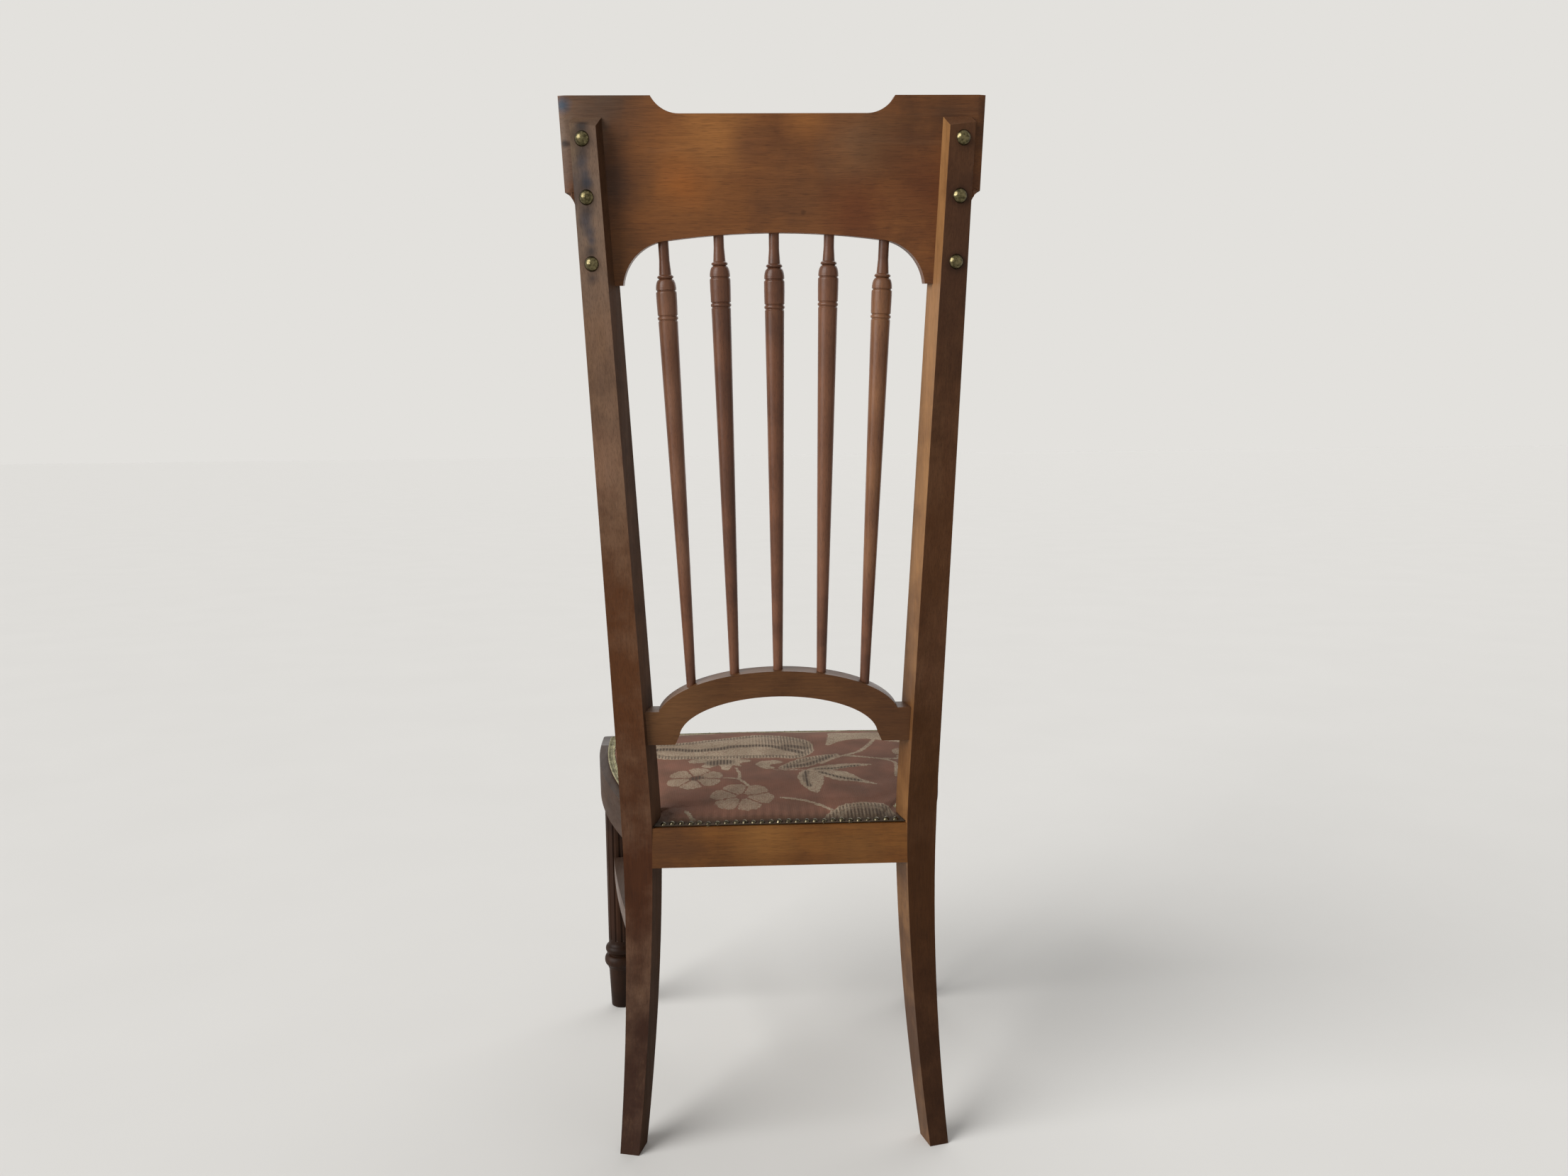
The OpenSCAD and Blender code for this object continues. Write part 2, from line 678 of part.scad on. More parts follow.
// Plan of the seat's left half, drawn in from its outer edge by a set margin
module seat_half_plan(margin) {
    front = -seat_depth + margin;
    intersection() {
        translate([0, front - front_bow - 1]) square([front_half - margin, seat_depth + front_bow]);
        union() {
            translate([bow_x, bow_y]) circle(side_bow_r - margin, $fn = 2 * arc_fn);
            translate([0, front - front_bow]) square([front_half - margin, bow_y - front + front_bow]);
        }
        translate([0, front - front_bow + front_bow_r]) circle(front_bow_r, $fn = 4 * arc_fn);
    }
}

// What lies behind the plane that touches a post's front face at a given height
module behind_post_front(z) {
    lean = z >= post_upright_h ? asin((z - post_upright_h) / (post_bend_r + post_depth))
        : -asin((post_upright_h - z) / foot_front_r);
    post_frame() translate([-far / 4, post_front_s(z) - fit_gap, z]) rotate([-lean, 0, 0])
        translate([0, 0, -far / 4]) cube([far, far, far / 2]);
}

module rear_rail_section() {
    rise = rear_rail_t * tan(seat_slope);
    polygon([[0, seat_h], [-rear_rail_t, seat_h + rise],
        [-rear_rail_t, seat_h - rail_h], [0, seat_h - rail_h]]);
}

module rear_rail_tenon(gap) {
    start = back_inner_w / 2 - 2 * root;
    translate([start, -rear_rail_t / 2 - tenon_t / 2 - gap, seat_h - rail_h + rail_shoulder - gap])
        cube([tenon_len + root + gap, tenon_t + 2 * gap, rail_h - 2 * rail_shoulder + 2 * gap]);
}

module rear_seat_rail() {
    color(honey_walnut) chair_frame() difference() {
        for (side = [1, -1]) sided(side) {
            difference() {
                rotate([90, 0, 90]) linear_extrude(back_inner_w) rear_rail_section();
                post_frame() post_outside();
            }
            rear_rail_tenon(0);
        }
        nail_places() nail_shank(fit_gap);
        for (side = [1, -1]) seat_sided(side) rear_block_screw() screw(fit_gap);
    }
}

module side_rail_tenon(gap) {
    seat_frame() translate([side_rail_end_x - tenon_t / 2 - gap, side_rail_end_y - root,
        -rail_h + rail_shoulder - gap])
        cube([tenon_t + 2 * gap, tenon_len + root + gap, rail_h - 2 * rail_shoulder + 2 * gap]);
}

module side_rail_plan() {
    intersection() {
        translate([bow_x, bow_y]) difference() {
            circle(side_bow_r, $fn = 2 * arc_fn);
            circle(side_bow_r - side_rail_t, $fn = 2 * arc_fn);
        }
        translate([0, front_rail_back]) square([far, seat_depth]);
    }
}

module side_seat_rail(side) {
    color(walnut) chair_frame() sided(side) difference() {
        union() {
            difference() {
                shifted(side) seat_board(0, rail_h) side_rail_plan();
                behind_post_front(seat_h - rail_h / 2);
            }
            shifted(side) side_rail_tenon(0);
        }
        shifted(side) side_block_screw() screw(fit_gap);
        shifted(side) side_rear_block_screw() screw(fit_gap);
        shifted(side) front_dowel(fit_gap);
    }
}

// Round dowels between the side rail's front end and the front rail, part of the front rail
module front_dowel(gap) {
    seat_frame() for (z = [-rail_h / 3, -2 * rail_h / 3])
        translate([front_half - side_rail_t / 2, front_rail_back - root, z]) rotate([-90, 0, 0])
            cylinder(d = dowel_d + 2 * gap, h = tenon_len + root + gap, $fn = small_fn);
}

module front_seat_rail() {
    color(walnut) chair_frame() difference() {
        for (side = [1, -1]) seat_sided(side) {
            seat_board(0, rail_h) difference() {
                seat_half_plan(0);
                translate([-1, front_rail_back]) square([far, far]);
                corner_rounding();
            }
            front_dowel(0);
        }
        for (side = [1, -1]) seat_sided(side) {
            leg_tenon(fit_gap);
            front_block_screw() screw(fit_gap);
        }
    }
}

// What the rounded front corner loses
module corner_rounding() {
    corner_y = -seat_depth - front_bow + front_bow_r - sqrt(pow(front_bow_r, 2) - pow(front_corner_x, 2))
        + front_corner_r;
    difference() {
        translate([front_corner_x, corner_y - 3 * front_corner_r])
            square([2 * front_corner_r, 3 * front_corner_r]);
        translate([front_corner_x, corner_y]) circle(front_corner_r, $fn = turn_fn);
    }
}

// Front legs

module leg_tenon(gap) {
    translate([leg_x, leg_y, leg_top_z - 3])
        cylinder(d = leg_tenon_d + 2 * gap, h = leg_tenon_len + 3 + gap, $fn = turn_fn);
}

module leg_outline() {
    toe = leg_toe_d / 2;
    foot = leg_foot_d / 2;
    ring = leg_ring_d / 2;
    collar = leg_collar_d / 2;
    ring_h = 9.5;
    collar_h = 7;
    polygon(concat(
        [[0, 0]], [for (k = [0 : 4]) [toe - 3 + 3 * sin(k * 22.5), 3 - 3 * cos(k * 22.5)]],
        [[foot, leg_foot_h - 2], [foot + 1, leg_foot_h]],
        [for (k = [1 : 9]) [foot + 1 + (ring - foot - 1) * sin(k * 18), leg_ring_z - ring_h * cos(k * 18)]],
        [[foot, leg_ring_z + ring_h], [foot, leg_ring_z + ring_h + 1.5]],
        [for (k = [1 : 9]) [foot + (collar - foot) * sin(k * 18), leg_collar_z - collar_h * cos(k * 18)]],
        [[leg_r + 0.5, leg_collar_z + collar_h + 2], [leg_r, leg_collar_z + collar_h + 5]],
        [[leg_r, leg_top_z + 8], [0, leg_top_z + 8]]));
}

module front_leg(side) {
    color(dark_walnut) chair_frame() seat_sided(side) difference() {
        union() {
            difference() {
                translate([leg_x, leg_y, 0]) rotate_extrude($fn = turn_fn) leg_outline();
                seat_frame() translate([0, -far / 2, -rail_h]) cube([far, far, far]);
            }
            leg_tenon(0);
        }
        for (k = [0 : flute_n - 1]) translate([leg_x, leg_y, 0]) rotate([0, 0, (k + 0.5) * 360 / flute_n])
            translate([leg_r + flute_d / 2 - flute_deep, 0, 0]) flute();
        stretcher_leg_tenon(fit_gap);
    }
}

module flute() {
    translate([0, 0, flute_low_z]) sphere(d = flute_d, $fn = small_fn);
    translate([0, 0, flute_low_z]) cylinder(d = flute_d, h = flute_high_z - flute_low_z, $fn = small_fn);
    translate([0, 0, flute_high_z]) sphere(d = flute_d, $fn = small_fn);
}

// Side stretchers, level, from the leg's axis to the post's front face

// A frame at the stretcher's outer face above the leg, its Y axis along the chord to the post
module stretcher_frame() {
    translate([stretcher_front_x, leg_y, stretcher_z]) rotate([0, 0, stretcher_angle]) children();
}

module stretcher_plan() {
    bow = sag_at(stretcher_bow_r, stretcher_chord / 2);
    translate([bow - stretcher_bow_r, stretcher_chord / 2]) difference() {
        circle(stretcher_bow_r, $fn = 8 * arc_fn);
        circle(stretcher_bow_r - stretcher_t, $fn = 8 * arc_fn);
    }
}

module stretcher_tenon(gap) {
    translate([stretcher_back_x - stretcher_t / 2 - tenon_t / 2 - gap, stretcher_back_y - root,
        stretcher_z + stretcher_shoulder - gap])
        cube([tenon_t + 2 * gap, tenon_len + root + gap, stretcher_h - 2 * stretcher_shoulder + 2 * gap]);
}

module stretcher_leg_tenon(gap) {
    translate([stretcher_front_x - stretcher_t / 2 - tenon_t / 2 - gap, leg_y + root - gap,
        stretcher_z + stretcher_shoulder - gap])
        cube([tenon_t + 2 * gap, leg_r, stretcher_h - 2 * stretcher_shoulder + 2 * gap]);
}

module side_stretcher(side) {
    color(walnut) chair_frame() sided(side) {
        difference() {
            shifted(side) stretcher_frame() linear_extrude(stretcher_h) intersection() {
                stretcher_plan();
                translate([-far / 8, 0]) square([far / 4, stretcher_chord + root]);
            }
            shifted(side) translate([leg_x, leg_y, 0])
                cylinder(r = leg_r + fit_gap, h = seat_h, $fn = turn_fn);
            translate([0, leg_y - far, 0]) cube([far, far, seat_h]);
            behind_post_front(stretcher_mid_z);
        }
        shifted(side) stretcher_tenon(0);
        shifted(side) stretcher_leg_tenon(0);
    }
}

// Corner blocks and their screws

module front_block_plan() {
    inner = front_half - side_rail_t;
    difference() {
        polygon([[inner + root, front_rail_back], [inner - block_leg, front_rail_back],
            [inner - 2 * root, front_rail_back + block_leg], [inner + root, front_rail_back + block_leg]]);
        side_rail_keepout();
    }
}

module side_rail_keepout() {
    difference() {
        translate([0, -far / 2]) square([far, far]);
        translate([bow_x, bow_y]) circle(side_bow_r - side_rail_t - 2 * fit_gap, $fn = 2 * arc_fn);
    }
}

module rear_block_plan() {
    corner = [back_inner_w / 2 + 2 * root, -rear_rail_t - 1];
    difference() {
        polygon([corner, corner - [block_leg + 4 * root, 0], corner - [0, block_leg]]);
        side_rail_keepout();
    }
}

module corner_block_front(side) {
    color(under_wood) chair_frame() seat_sided(side) difference() {
        seat_board(-block_drop, block_h) front_block_plan();
        front_block_screw() screw(fit_gap);
        side_block_screw() screw(fit_gap);
    }
}

module corner_block_rear(side) {
    color(under_wood) chair_frame() sided(side) difference() {
        shifted(side) seat_board(-block_drop, block_h) rear_block_plan();
        translate([-far / 2, -rear_rail_t, 0]) cube([far, far, far]);
        behind_post_front(seat_h - rail_h / 2);
        shifted(side) rear_block_screw() screw(fit_gap);
        shifted(side) side_rear_block_screw() screw(fit_gap);
    }
}

// Screw frames: the head at the origin, the shank along +Z, two heights so that none meet
module block_frame(x, y, share) {
    seat_frame() translate([x, y, -block_drop - block_h * share]) children();
}

module front_block_screw() {
    block_frame(front_half - side_rail_t - 26, front_rail_back + 20, 0.35) rotate([90, 0, 0]) children();
}

module side_block_screw() {
    block_frame(front_half - side_rail_t - 22, front_rail_back + 30, 0.7) rotate([0, 90, 0]) children();
}

module rear_block_screw() {
    block_frame(back_inner_w / 2 - 34, -rear_rail_t - 15, 0.35) rotate([-90, 0, 0]) children();
}

module side_rear_block_screw() {
    block_frame(back_inner_w / 2 - 20, -rear_rail_t - 32, 0.7) rotate([0, 90, 0]) children();
}

module screw(gap) {
    head_d = 2 * screw_d;
    way_in = screw_len;
    translate([0, 0, -gap]) {
        cylinder(d = screw_d + 2 * gap, h = screw_len + gap, $fn = small_fn);
        cylinder(d1 = head_d + 2 * gap, d2 = screw_d + 2 * gap, h = screw_d / 2, $fn = small_fn);
    }
    // The way in for the head
    if (gap > 0) translate([0, 0, -way_in])
        cylinder(d = head_d + 4 * gap, h = way_in - gap, $fn = small_fn);
}

module corner_block_screws() {
    color(steel) chair_frame() for (side = [1, -1]) seat_sided(side) {
        front_block_screw() screw(0);
        side_block_screw() screw(0);
        rear_block_screw() screw(0);
        side_rear_block_screw() screw(0);
    }
}

// Seat: straps, hessian, padding, cover, braid and nails

module strap_clip() {
    soft_plan(pad_edge + layer_in, pad_back + layer_in, layer_in);
}

module webbing_straps() {
    long_pitch = 1.7 * strap_w;
    cross_pitch = seat_depth / (straps_cross + 1);
    color(jute) chair_frame() {
        seat_board(strap_t, strap_t) intersection() {
            strap_clip();
            for (k = [1 : straps_long])
                translate([(k - (straps_long + 1) / 2) * long_pitch - strap_w / 2, -far / 2])
                    square([strap_w, far]);
        }
        seat_board(2 * strap_t, strap_t) intersection() {
            strap_clip();
            for (k = [1 : straps_cross])
                translate([-far / 2, -seat_depth + show_wood + k * cross_pitch - strap_w / 2])
                    square([far, strap_w]);
        }
    }
}

module hessian_base() {
    color(jute) chair_frame() seat_board(hessian_z + hessian_t, hessian_t) strap_clip();
}

// Seat plan with a margin at the sides and front, another at the back, and some room at the posts
module soft_plan(margin, back, room = 0) {
    intersection() {
        for (side = [1, -1]) seat_sided(side) seat_half_plan(margin);
        translate([-far / 2, -far]) square([far, far - back]);
        post_clear_plan(room);
    }
}

// Keeps the soft layers off the posts' front faces, with some more room inside them
module post_clear_plan(room) {
    inner = back_inner_w / 2 - post_depth * sin(post_turn) - 2 - room;
    front = -post_depth * cos(post_turn) - post_w * sin(post_turn) - 3 - room;
    translate([-inner, -far]) square([2 * inner, far]);
    translate([-far / 2, -far]) square([far, far + front]);
}

// The seat's swell, from a given height up to a set drop below its outside
module dome(low, drop) {
    skin = 0.1;
    back_run = pad_back - pad_edge + 20;
    intersection() {
        hull() {
            translate([0, 0, low]) linear_extrude(edge_rise - drop - low)
                hull() soft_plan(pad_edge + drop, pad_back + drop);
            translate([0, 0, shoulder_rise - drop - skin]) linear_extrude(skin)
                hull() soft_plan(pad_edge + shoulder_in + drop, pad_edge + shoulder_in + back_run + drop);
            translate([0, 0, seat_crown - drop - skin]) linear_extrude(skin)
                hull() soft_plan(pad_edge + crown_in + drop, pad_edge + crown_in + back_run + drop);
        }
        translate([0, 0, low]) linear_extrude(seat_crown - low) post_clear_plan(drop);
    }
}

module seat_padding() {
    color(jute) chair_frame() seat_frame() dome(pad_z, layer_in);
}

module seat_cover() {
    color(tapestry) chair_frame() difference() {
        seat_frame() union() {
            linear_extrude(cover_t) soft_plan(show_wood, cover_back);
            dome(0, 0);
        }
        seat_frame() dome(-1, cover_t);
        nail_places() nail_shank(fit_gap);
    }
}

module galloon_braid() {
    color(braid_thread) chair_frame() seat_frame() translate([0, 0, cover_t])
        linear_extrude(braid_t) difference() {
            soft_plan(show_wood + 0.5, -post_front_margin());
            for (side = [1, -1]) seat_sided(side) seat_half_plan(show_wood + 0.5 + braid_w);
        }
}

// The braid stops short of the posts' front faces
function post_front_margin() = -(post_depth * cos(post_turn) + post_w * sin(post_turn) + 4);

module nail_places() {
    room = back_inner_w - 3 * nail_d;
    count = floor(room / nail_pitch);
    seat_frame() for (k = [0 : count])
        translate([(k - count / 2) * nail_pitch, -nail_in, cover_t]) children();
}

module nail_shank(gap) {
    translate([0, 0, -nail_len - gap])
        cylinder(d = nail_d / 5 + 2 * gap, h = nail_len + 2 * gap, $fn = small_fn / 2);
}

// A shallow dome of a given width and height
module domed_head(d, h) {
    r = (pow(d / 2, 2) + pow(h, 2)) / (2 * h);
    rotate_extrude($fn = small_fn) intersection() {
        translate([0, h - r]) circle(r, $fn = turn_fn);
        square([d / 2, h]);
    }
}

module rear_nails() {
    color(brass) chair_frame() nail_places() {
        nail_shank(0);
        domed_head(nail_d, nail_dome_h);
    }
}

// Studs: a frame on the post's back face for each, its Z axis pointing out of the face
module stud_places() {
    post_frame() translate([0, post_bend_r, post_upright_h]) rotate([-post_rake, 0, 0]) {
        for (drop = [stud_drop_1, stud_drop_2, stud_drop_3]) {
            z = post_h - drop;
            along = (z - bend_top_z) / cos(post_rake);
            translate([post_t_in(z) + post_width(z) / 2 + stud_out, -post_bend_r, along])
                rotate([-90, 0, 0]) children();
        }
    }
}

module stud_shank(gap) {
    translate([0, 0, -stud_shank_len - gap])
        cylinder(d = stud_shank_d + 2 * gap, h = stud_shank_len + 2 * gap, $fn = small_fn);
}

module crest_studs(side) {
    color(brass) chair_frame() sided(side) stud_places() {
        stud_shank(0);
        domed_head(stud_d, stud_dome_h);
    }
}

rear_post(1);  // rear_post_left
rear_post(-1);  // rear_post_right
crest_rail();
lower_arch_rail();
spindle(1);  // spindle_1
spindle(2);  // spindle_2
spindle(3);  // spindle_3
spindle(4);  // spindle_4
spindle(5);  // spindle_5
rear_seat_rail();
side_seat_rail(1);  // side_seat_rail_left
side_seat_rail(-1);  // side_seat_rail_right
front_seat_rail();
front_leg(1);  // front_leg_left
front_leg(-1);  // front_leg_right
side_stretcher(1);  // side_stretcher_left
side_stretcher(-1);  // side_stretcher_right
corner_block_front(1);  // corner_block_front_left
corner_block_front(-1);  // corner_block_front_right
corner_block_rear(1);  // corner_block_rear_left
corner_block_rear(-1);  // corner_block_rear_right
corner_block_screws();
webbing_straps();
hessian_base();
seat_padding();
seat_cover();
galloon_braid();
rear_nails();
crest_studs(1);  // crest_studs_left
crest_studs(-1);  // crest_studs_right
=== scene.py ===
# %% [markdown]
# # A high-back side chair in worn, stained walnut
#
# The chair stands with its back to us: two sabre posts, a shaped crest board held by brass studs,
# five turned spindles over a low arched rail, and a tight tapestry seat with a row of close nails.
# The solid pieces come from the CAD model. Here their edges are softened and rubbed, the seat is
# padded and covered, the braid is added, the nail heads are raised, and every finish is made from nodes.

# %% Load the CAD frame
import math

import bmesh
import bpy
import numpy as np
from mathutils import Matrix, Vector


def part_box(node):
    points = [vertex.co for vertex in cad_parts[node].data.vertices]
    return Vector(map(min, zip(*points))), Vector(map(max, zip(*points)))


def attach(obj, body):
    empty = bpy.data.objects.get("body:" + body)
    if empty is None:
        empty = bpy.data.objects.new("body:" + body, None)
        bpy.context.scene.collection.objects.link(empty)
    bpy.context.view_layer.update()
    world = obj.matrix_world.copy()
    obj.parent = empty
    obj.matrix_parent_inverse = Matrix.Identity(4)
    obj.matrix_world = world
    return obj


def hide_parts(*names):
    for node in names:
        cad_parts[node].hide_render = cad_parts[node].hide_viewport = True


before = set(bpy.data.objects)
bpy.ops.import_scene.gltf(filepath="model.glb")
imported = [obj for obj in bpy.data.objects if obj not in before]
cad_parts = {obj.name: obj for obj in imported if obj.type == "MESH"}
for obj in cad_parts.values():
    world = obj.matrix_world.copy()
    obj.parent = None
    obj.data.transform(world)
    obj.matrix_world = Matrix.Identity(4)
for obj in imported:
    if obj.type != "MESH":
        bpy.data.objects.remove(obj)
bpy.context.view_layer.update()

MM = 0.001

# %% [markdown]
# ## The camera
#
# The camera stands behind the chair, a little to the sitter's left and halfway up the chair's back,
# and is tilted down. A camera's matrix is built from three directions: to the right,
# up, and backwards. Building it from angles, in radians, keeps each one readable.

# %% Camera
def look_from(eye, turn, tilt, lean):
    ahead = Vector((math.sin(turn) * math.cos(tilt), -math.cos(turn) * math.cos(tilt), -math.sin(tilt)))
    level_right = ahead.cross(Vector((0, 0, 1))).normalized()
    level_up = level_right.cross(ahead)
    right = level_right * math.cos(lean) + level_up * math.sin(lean)
    up = level_up * math.cos(lean) - level_right * math.sin(lean)
    placed = Matrix((right, up, -ahead)).transposed().to_4x4()
    placed.translation = eye
    return placed


lens = bpy.data.cameras.new("camera")
lens.sensor_width = 36
lens.lens = 29.23
camera = bpy.data.objects.new("camera", lens)
bpy.context.collection.objects.link(camera)
camera.matrix_world = look_from(Vector((0.0524, 1.8365, 0.9518)), -0.0371, 0.1195, -0.0116)
bpy.context.scene.camera = camera
print("camera at", [round(v, 3) for v in camera.matrix_world.translation])

# %% [markdown]
# ## Small helpers
#
# Colours are written as the hex values that a paint program shows. Shaders want linear light, so one
# function turns them. A second one adds a shader node: its settings are plain arguments, and its
# sockets are given by name or number, or as a list in their order. A socket takes a number, a hex
# colour, the output that feeds it, or a whole node, which then feeds it from its first live output.

# %% Colour and node helpers
def linear(hex_colour):
    channels = [int(hex_colour[i:i + 2], 16) / 255 for i in (1, 3, 5)]
    return [c / 12.92 if c <= 0.04045 else ((c + 0.055) / 1.055) ** 2.4 for c in channels] + [1.0]


def feed(node, sockets):
    """Sets or links a node's sockets, given by name or number, or as a list in their order."""
    for name, value in sockets.items() if isinstance(sockets, dict) else enumerate(sockets):
        if isinstance(value, bpy.types.Node):
            value = next(output for output in value.outputs if output.enabled)
        if isinstance(value, bpy.types.NodeSocket):
            node.id_data.links.new(value, node.inputs[name])
        else:
            node.inputs[name].default_value = linear(value) if isinstance(value, str) else value


def add_node(tree, kind, sockets=(), **settings):
    node = tree.nodes.new(kind)
    for name, value in settings.items():
        setattr(node, name, value)
    feed(node, sockets)
    return node


def new_material(name):
    material = bpy.data.materials.new(name)
    material.use_nodes = True
    tree = material.node_tree
    tree.nodes.clear()
    shader = add_node(tree, "ShaderNodeBsdfPrincipled")
    add_node(tree, "ShaderNodeOutputMaterial", {"Surface": shader.outputs["BSDF"]})
    place = add_node(tree, "ShaderNodeTexCoord").outputs["Object"]
    return material, tree, shader, place


def lay_over(tree, under, over, pattern, start=0.0, end=1.0, share=1.0):
    """One colour over another: not at all where the pattern is at the start, by the share at the end."""
    amount = add_node(tree, "ShaderNodeMapRange", [pattern, start, end, 0, share])
    return add_node(tree, "ShaderNodeMix", {0: amount, 6: under, 7: over}, data_type="RGBA")


print("helpers ready")

# %% [markdown]
# ## Stained walnut under old varnish
#
# Walnut shows long, soft figure along the grain and short, dark pores. A stain and a hundred years of
# varnish make it darker and satin, with an index of refraction of about 1.5. Hands rub the varnish
# off in patches, which turn orange. Dark patches stand for dirt, and near joints and the floor for painted
# shade. The pores are really 0.2 mm wide:
# they are drawn about 0.8 mm wide, so that they still show from two metres away.
#
# The grain runs along one axis, so the coordinates are squeezed along it before the noise sees them.

# %% Wood material
ALONG_X = (0.05, 1.0, 1.0)
ALONG_Y = (1.0, 0.05, 1.0)
ALONG_Z = (1.0, 1.0, 0.05)


def varnished_walnut(name, grain, deep, body, worn, patches=(), rubbed=0.0, satin=0.46, shine=0.17):
    """Grain, pores, rubbed varnish, and soft patches given as (centre, radius, colour, strength)."""
    material, tree, shader, place = new_material(name)
    squeezed = add_node(tree, "ShaderNodeMapping", {"Vector": place, "Scale": grain})
    figure = add_node(tree, "ShaderNodeTexNoise", {"Vector": squeezed, "Scale": 430, "Detail": 4,
                                                   "Roughness": 0.55, "Distortion": 0.4})
    streaks = add_node(tree, "ShaderNodeTexNoise", {"Vector": squeezed, "Scale": 60, "Detail": 3,
                                                    "Distortion": 0.8})
    pores = add_node(tree, "ShaderNodeTexNoise", {"Vector": squeezed, "Scale": 1400, "Detail": 1,
                                                  "Roughness": 0.4})
    cloud = add_node(tree, "ShaderNodeTexNoise", {"Vector": place, "Scale": 14, "Detail": 6,
                                                  "Roughness": 0.62})
    scuff = add_node(tree, "ShaderNodeTexNoise", {"Vector": squeezed, "Scale": 26, "Detail": 8,
                                                  "Roughness": 0.75})
    # Soft streaks of the worn colour over the body, then an uneven stain
    wood = lay_over(tree, body, worn, streaks, 0.4, 0.68, 0.4)
    wood = lay_over(tree, wood, deep, cloud, 0.56, 0.36, 0.6)
    # Patches where light, hands or damp have changed the finish, and patches of painted shade, shadow and
    # sheen
    for centre, radius, colour, strength in patches:
        away = add_node(tree, "ShaderNodeVectorMath", [place, centre], operation="DISTANCE")
        wavy = add_node(tree, "ShaderNodeMath", [cloud, radius * 1.3, away], operation="MULTIPLY_ADD")
        wood = lay_over(tree, wood, colour, wavy, radius * 1.75, radius * 0.85, strength)
    # Rubbed places, mostly on edges
    start, end, share = 0.6 - 0.2 * rubbed, 0.75 - 0.15 * rubbed, 0.15 + 0.5 * rubbed
    wood = lay_over(tree, wood, "#8a6a4e", scuff, start, end, share)
    # Fine figure and pores go over everything
    wood = lay_over(tree, wood, "#24140c", pores, 0.44, 0.34, 0.27)
    tint = add_node(tree, "ShaderNodeMapRange", [figure, 0.3, 0.7, 0.87, 1.11])
    wood = add_node(tree, "ShaderNodeVectorMath", {0: wood, "Scale": tint}, operation="SCALE")
    rough = add_node(tree, "ShaderNodeMapRange", [scuff, 0.35, 0.7, satin - 0.08, satin + 0.16])
    # Open pores and the raised figure catch the light
    relief = add_node(tree, "ShaderNodeMath", [pores, 0.6, figure], operation="MULTIPLY_ADD")
    bump = add_node(tree, "ShaderNodeBump", {"Height": relief, "Strength": 0.16, "Distance": 0.0005})
    feed(shader, {"Base Color": wood, "Roughness": rough, "Normal": bump, "IOR": 1.5,
                  "Specular IOR Level": shine})
    return material


print("the grain is squeezed to", ALONG_X[0], "of its length")

# %% [markdown]
# ## Stains, painted shade and patches
#
# No two boards age alike, and some patches paint the shade, the shadows and the sheen that fall on the wood.
# Each patch is a soft ball with a ragged edge: its centre lies on the board, and its colour fades in around
# it. The back leans by a fixed slope, so a place on the crest board or on a post follows from its height. The
# studs' places are read from their own points.

# %% Painted shade and stains around the studs
BACK_LEAN = 0.1097
STUD_RISE = 0.006
SAME_STUD = 0.02


def stud_tops(node):
    """The rearmost point of each stud: its points fall into three groups by height."""
    points = sorted((v.co.copy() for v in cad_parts[node].data.vertices), key=lambda p: p.z)
    groups = [[points[0]]]
    for point in points[1:]:
        if point.z - groups[-1][-1].z > SAME_STUD:
            groups.append([])
        groups[-1].append(point)
    return [tuple(max(group, key=lambda p: p.y)) for group in groups]


def below(stud, drop, aside=0.0):
    """A place on the post's back face under a stud, or over it where the drop is negative."""
    return stud[0] + aside, stud[1] - STUD_RISE - drop * BACK_LEAN, stud[2] - drop


# A dark ring around each stud is painted shade with some dirt, and damp stains run down from two of them
stud_shade_and_stains_left, stud_shade_and_stains_right = [], []
for stud in stud_tops("crest_studs_left"):
    stud_shade_and_stains_left += [(below(stud, 0.0), 0.0145, "#33261f", 0.8), (below(stud, -0.015), 0.009, "#2b2625", 0.8),
                    (below(stud, 0.017), 0.010, "#2f2725", 0.75)]
for stud in stud_tops("crest_studs_left")[1:]:
    for drop, aside, radius in ((0.028, 0.002, 0.010), (0.04, -0.002, 0.009), (0.05, -0.004, 0.007)):
        stud_shade_and_stains_left.append((below(stud, drop, aside), radius, "#2f2e33", 0.75))
# A ring of painted shade with some dirt around each of the right post's studs
for stud in stud_tops("crest_studs_right"):
    stud_shade_and_stains_right.append((below(stud, 0.002), 0.0135, "#241710", 0.75))
print("stains", len(stud_shade_and_stains_left), "on the left post,", len(stud_shade_and_stains_right), "on the right one")

# %% Patches on the crest board
crest_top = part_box("crest_rail")[1]
CREST_INSET = 0.002


def on_crest(x, z):
    """A place just inside the crest board's leaning back face."""
    return x, crest_top[1] - CREST_INSET - (crest_top[2] - z) * BACK_LEAN, z


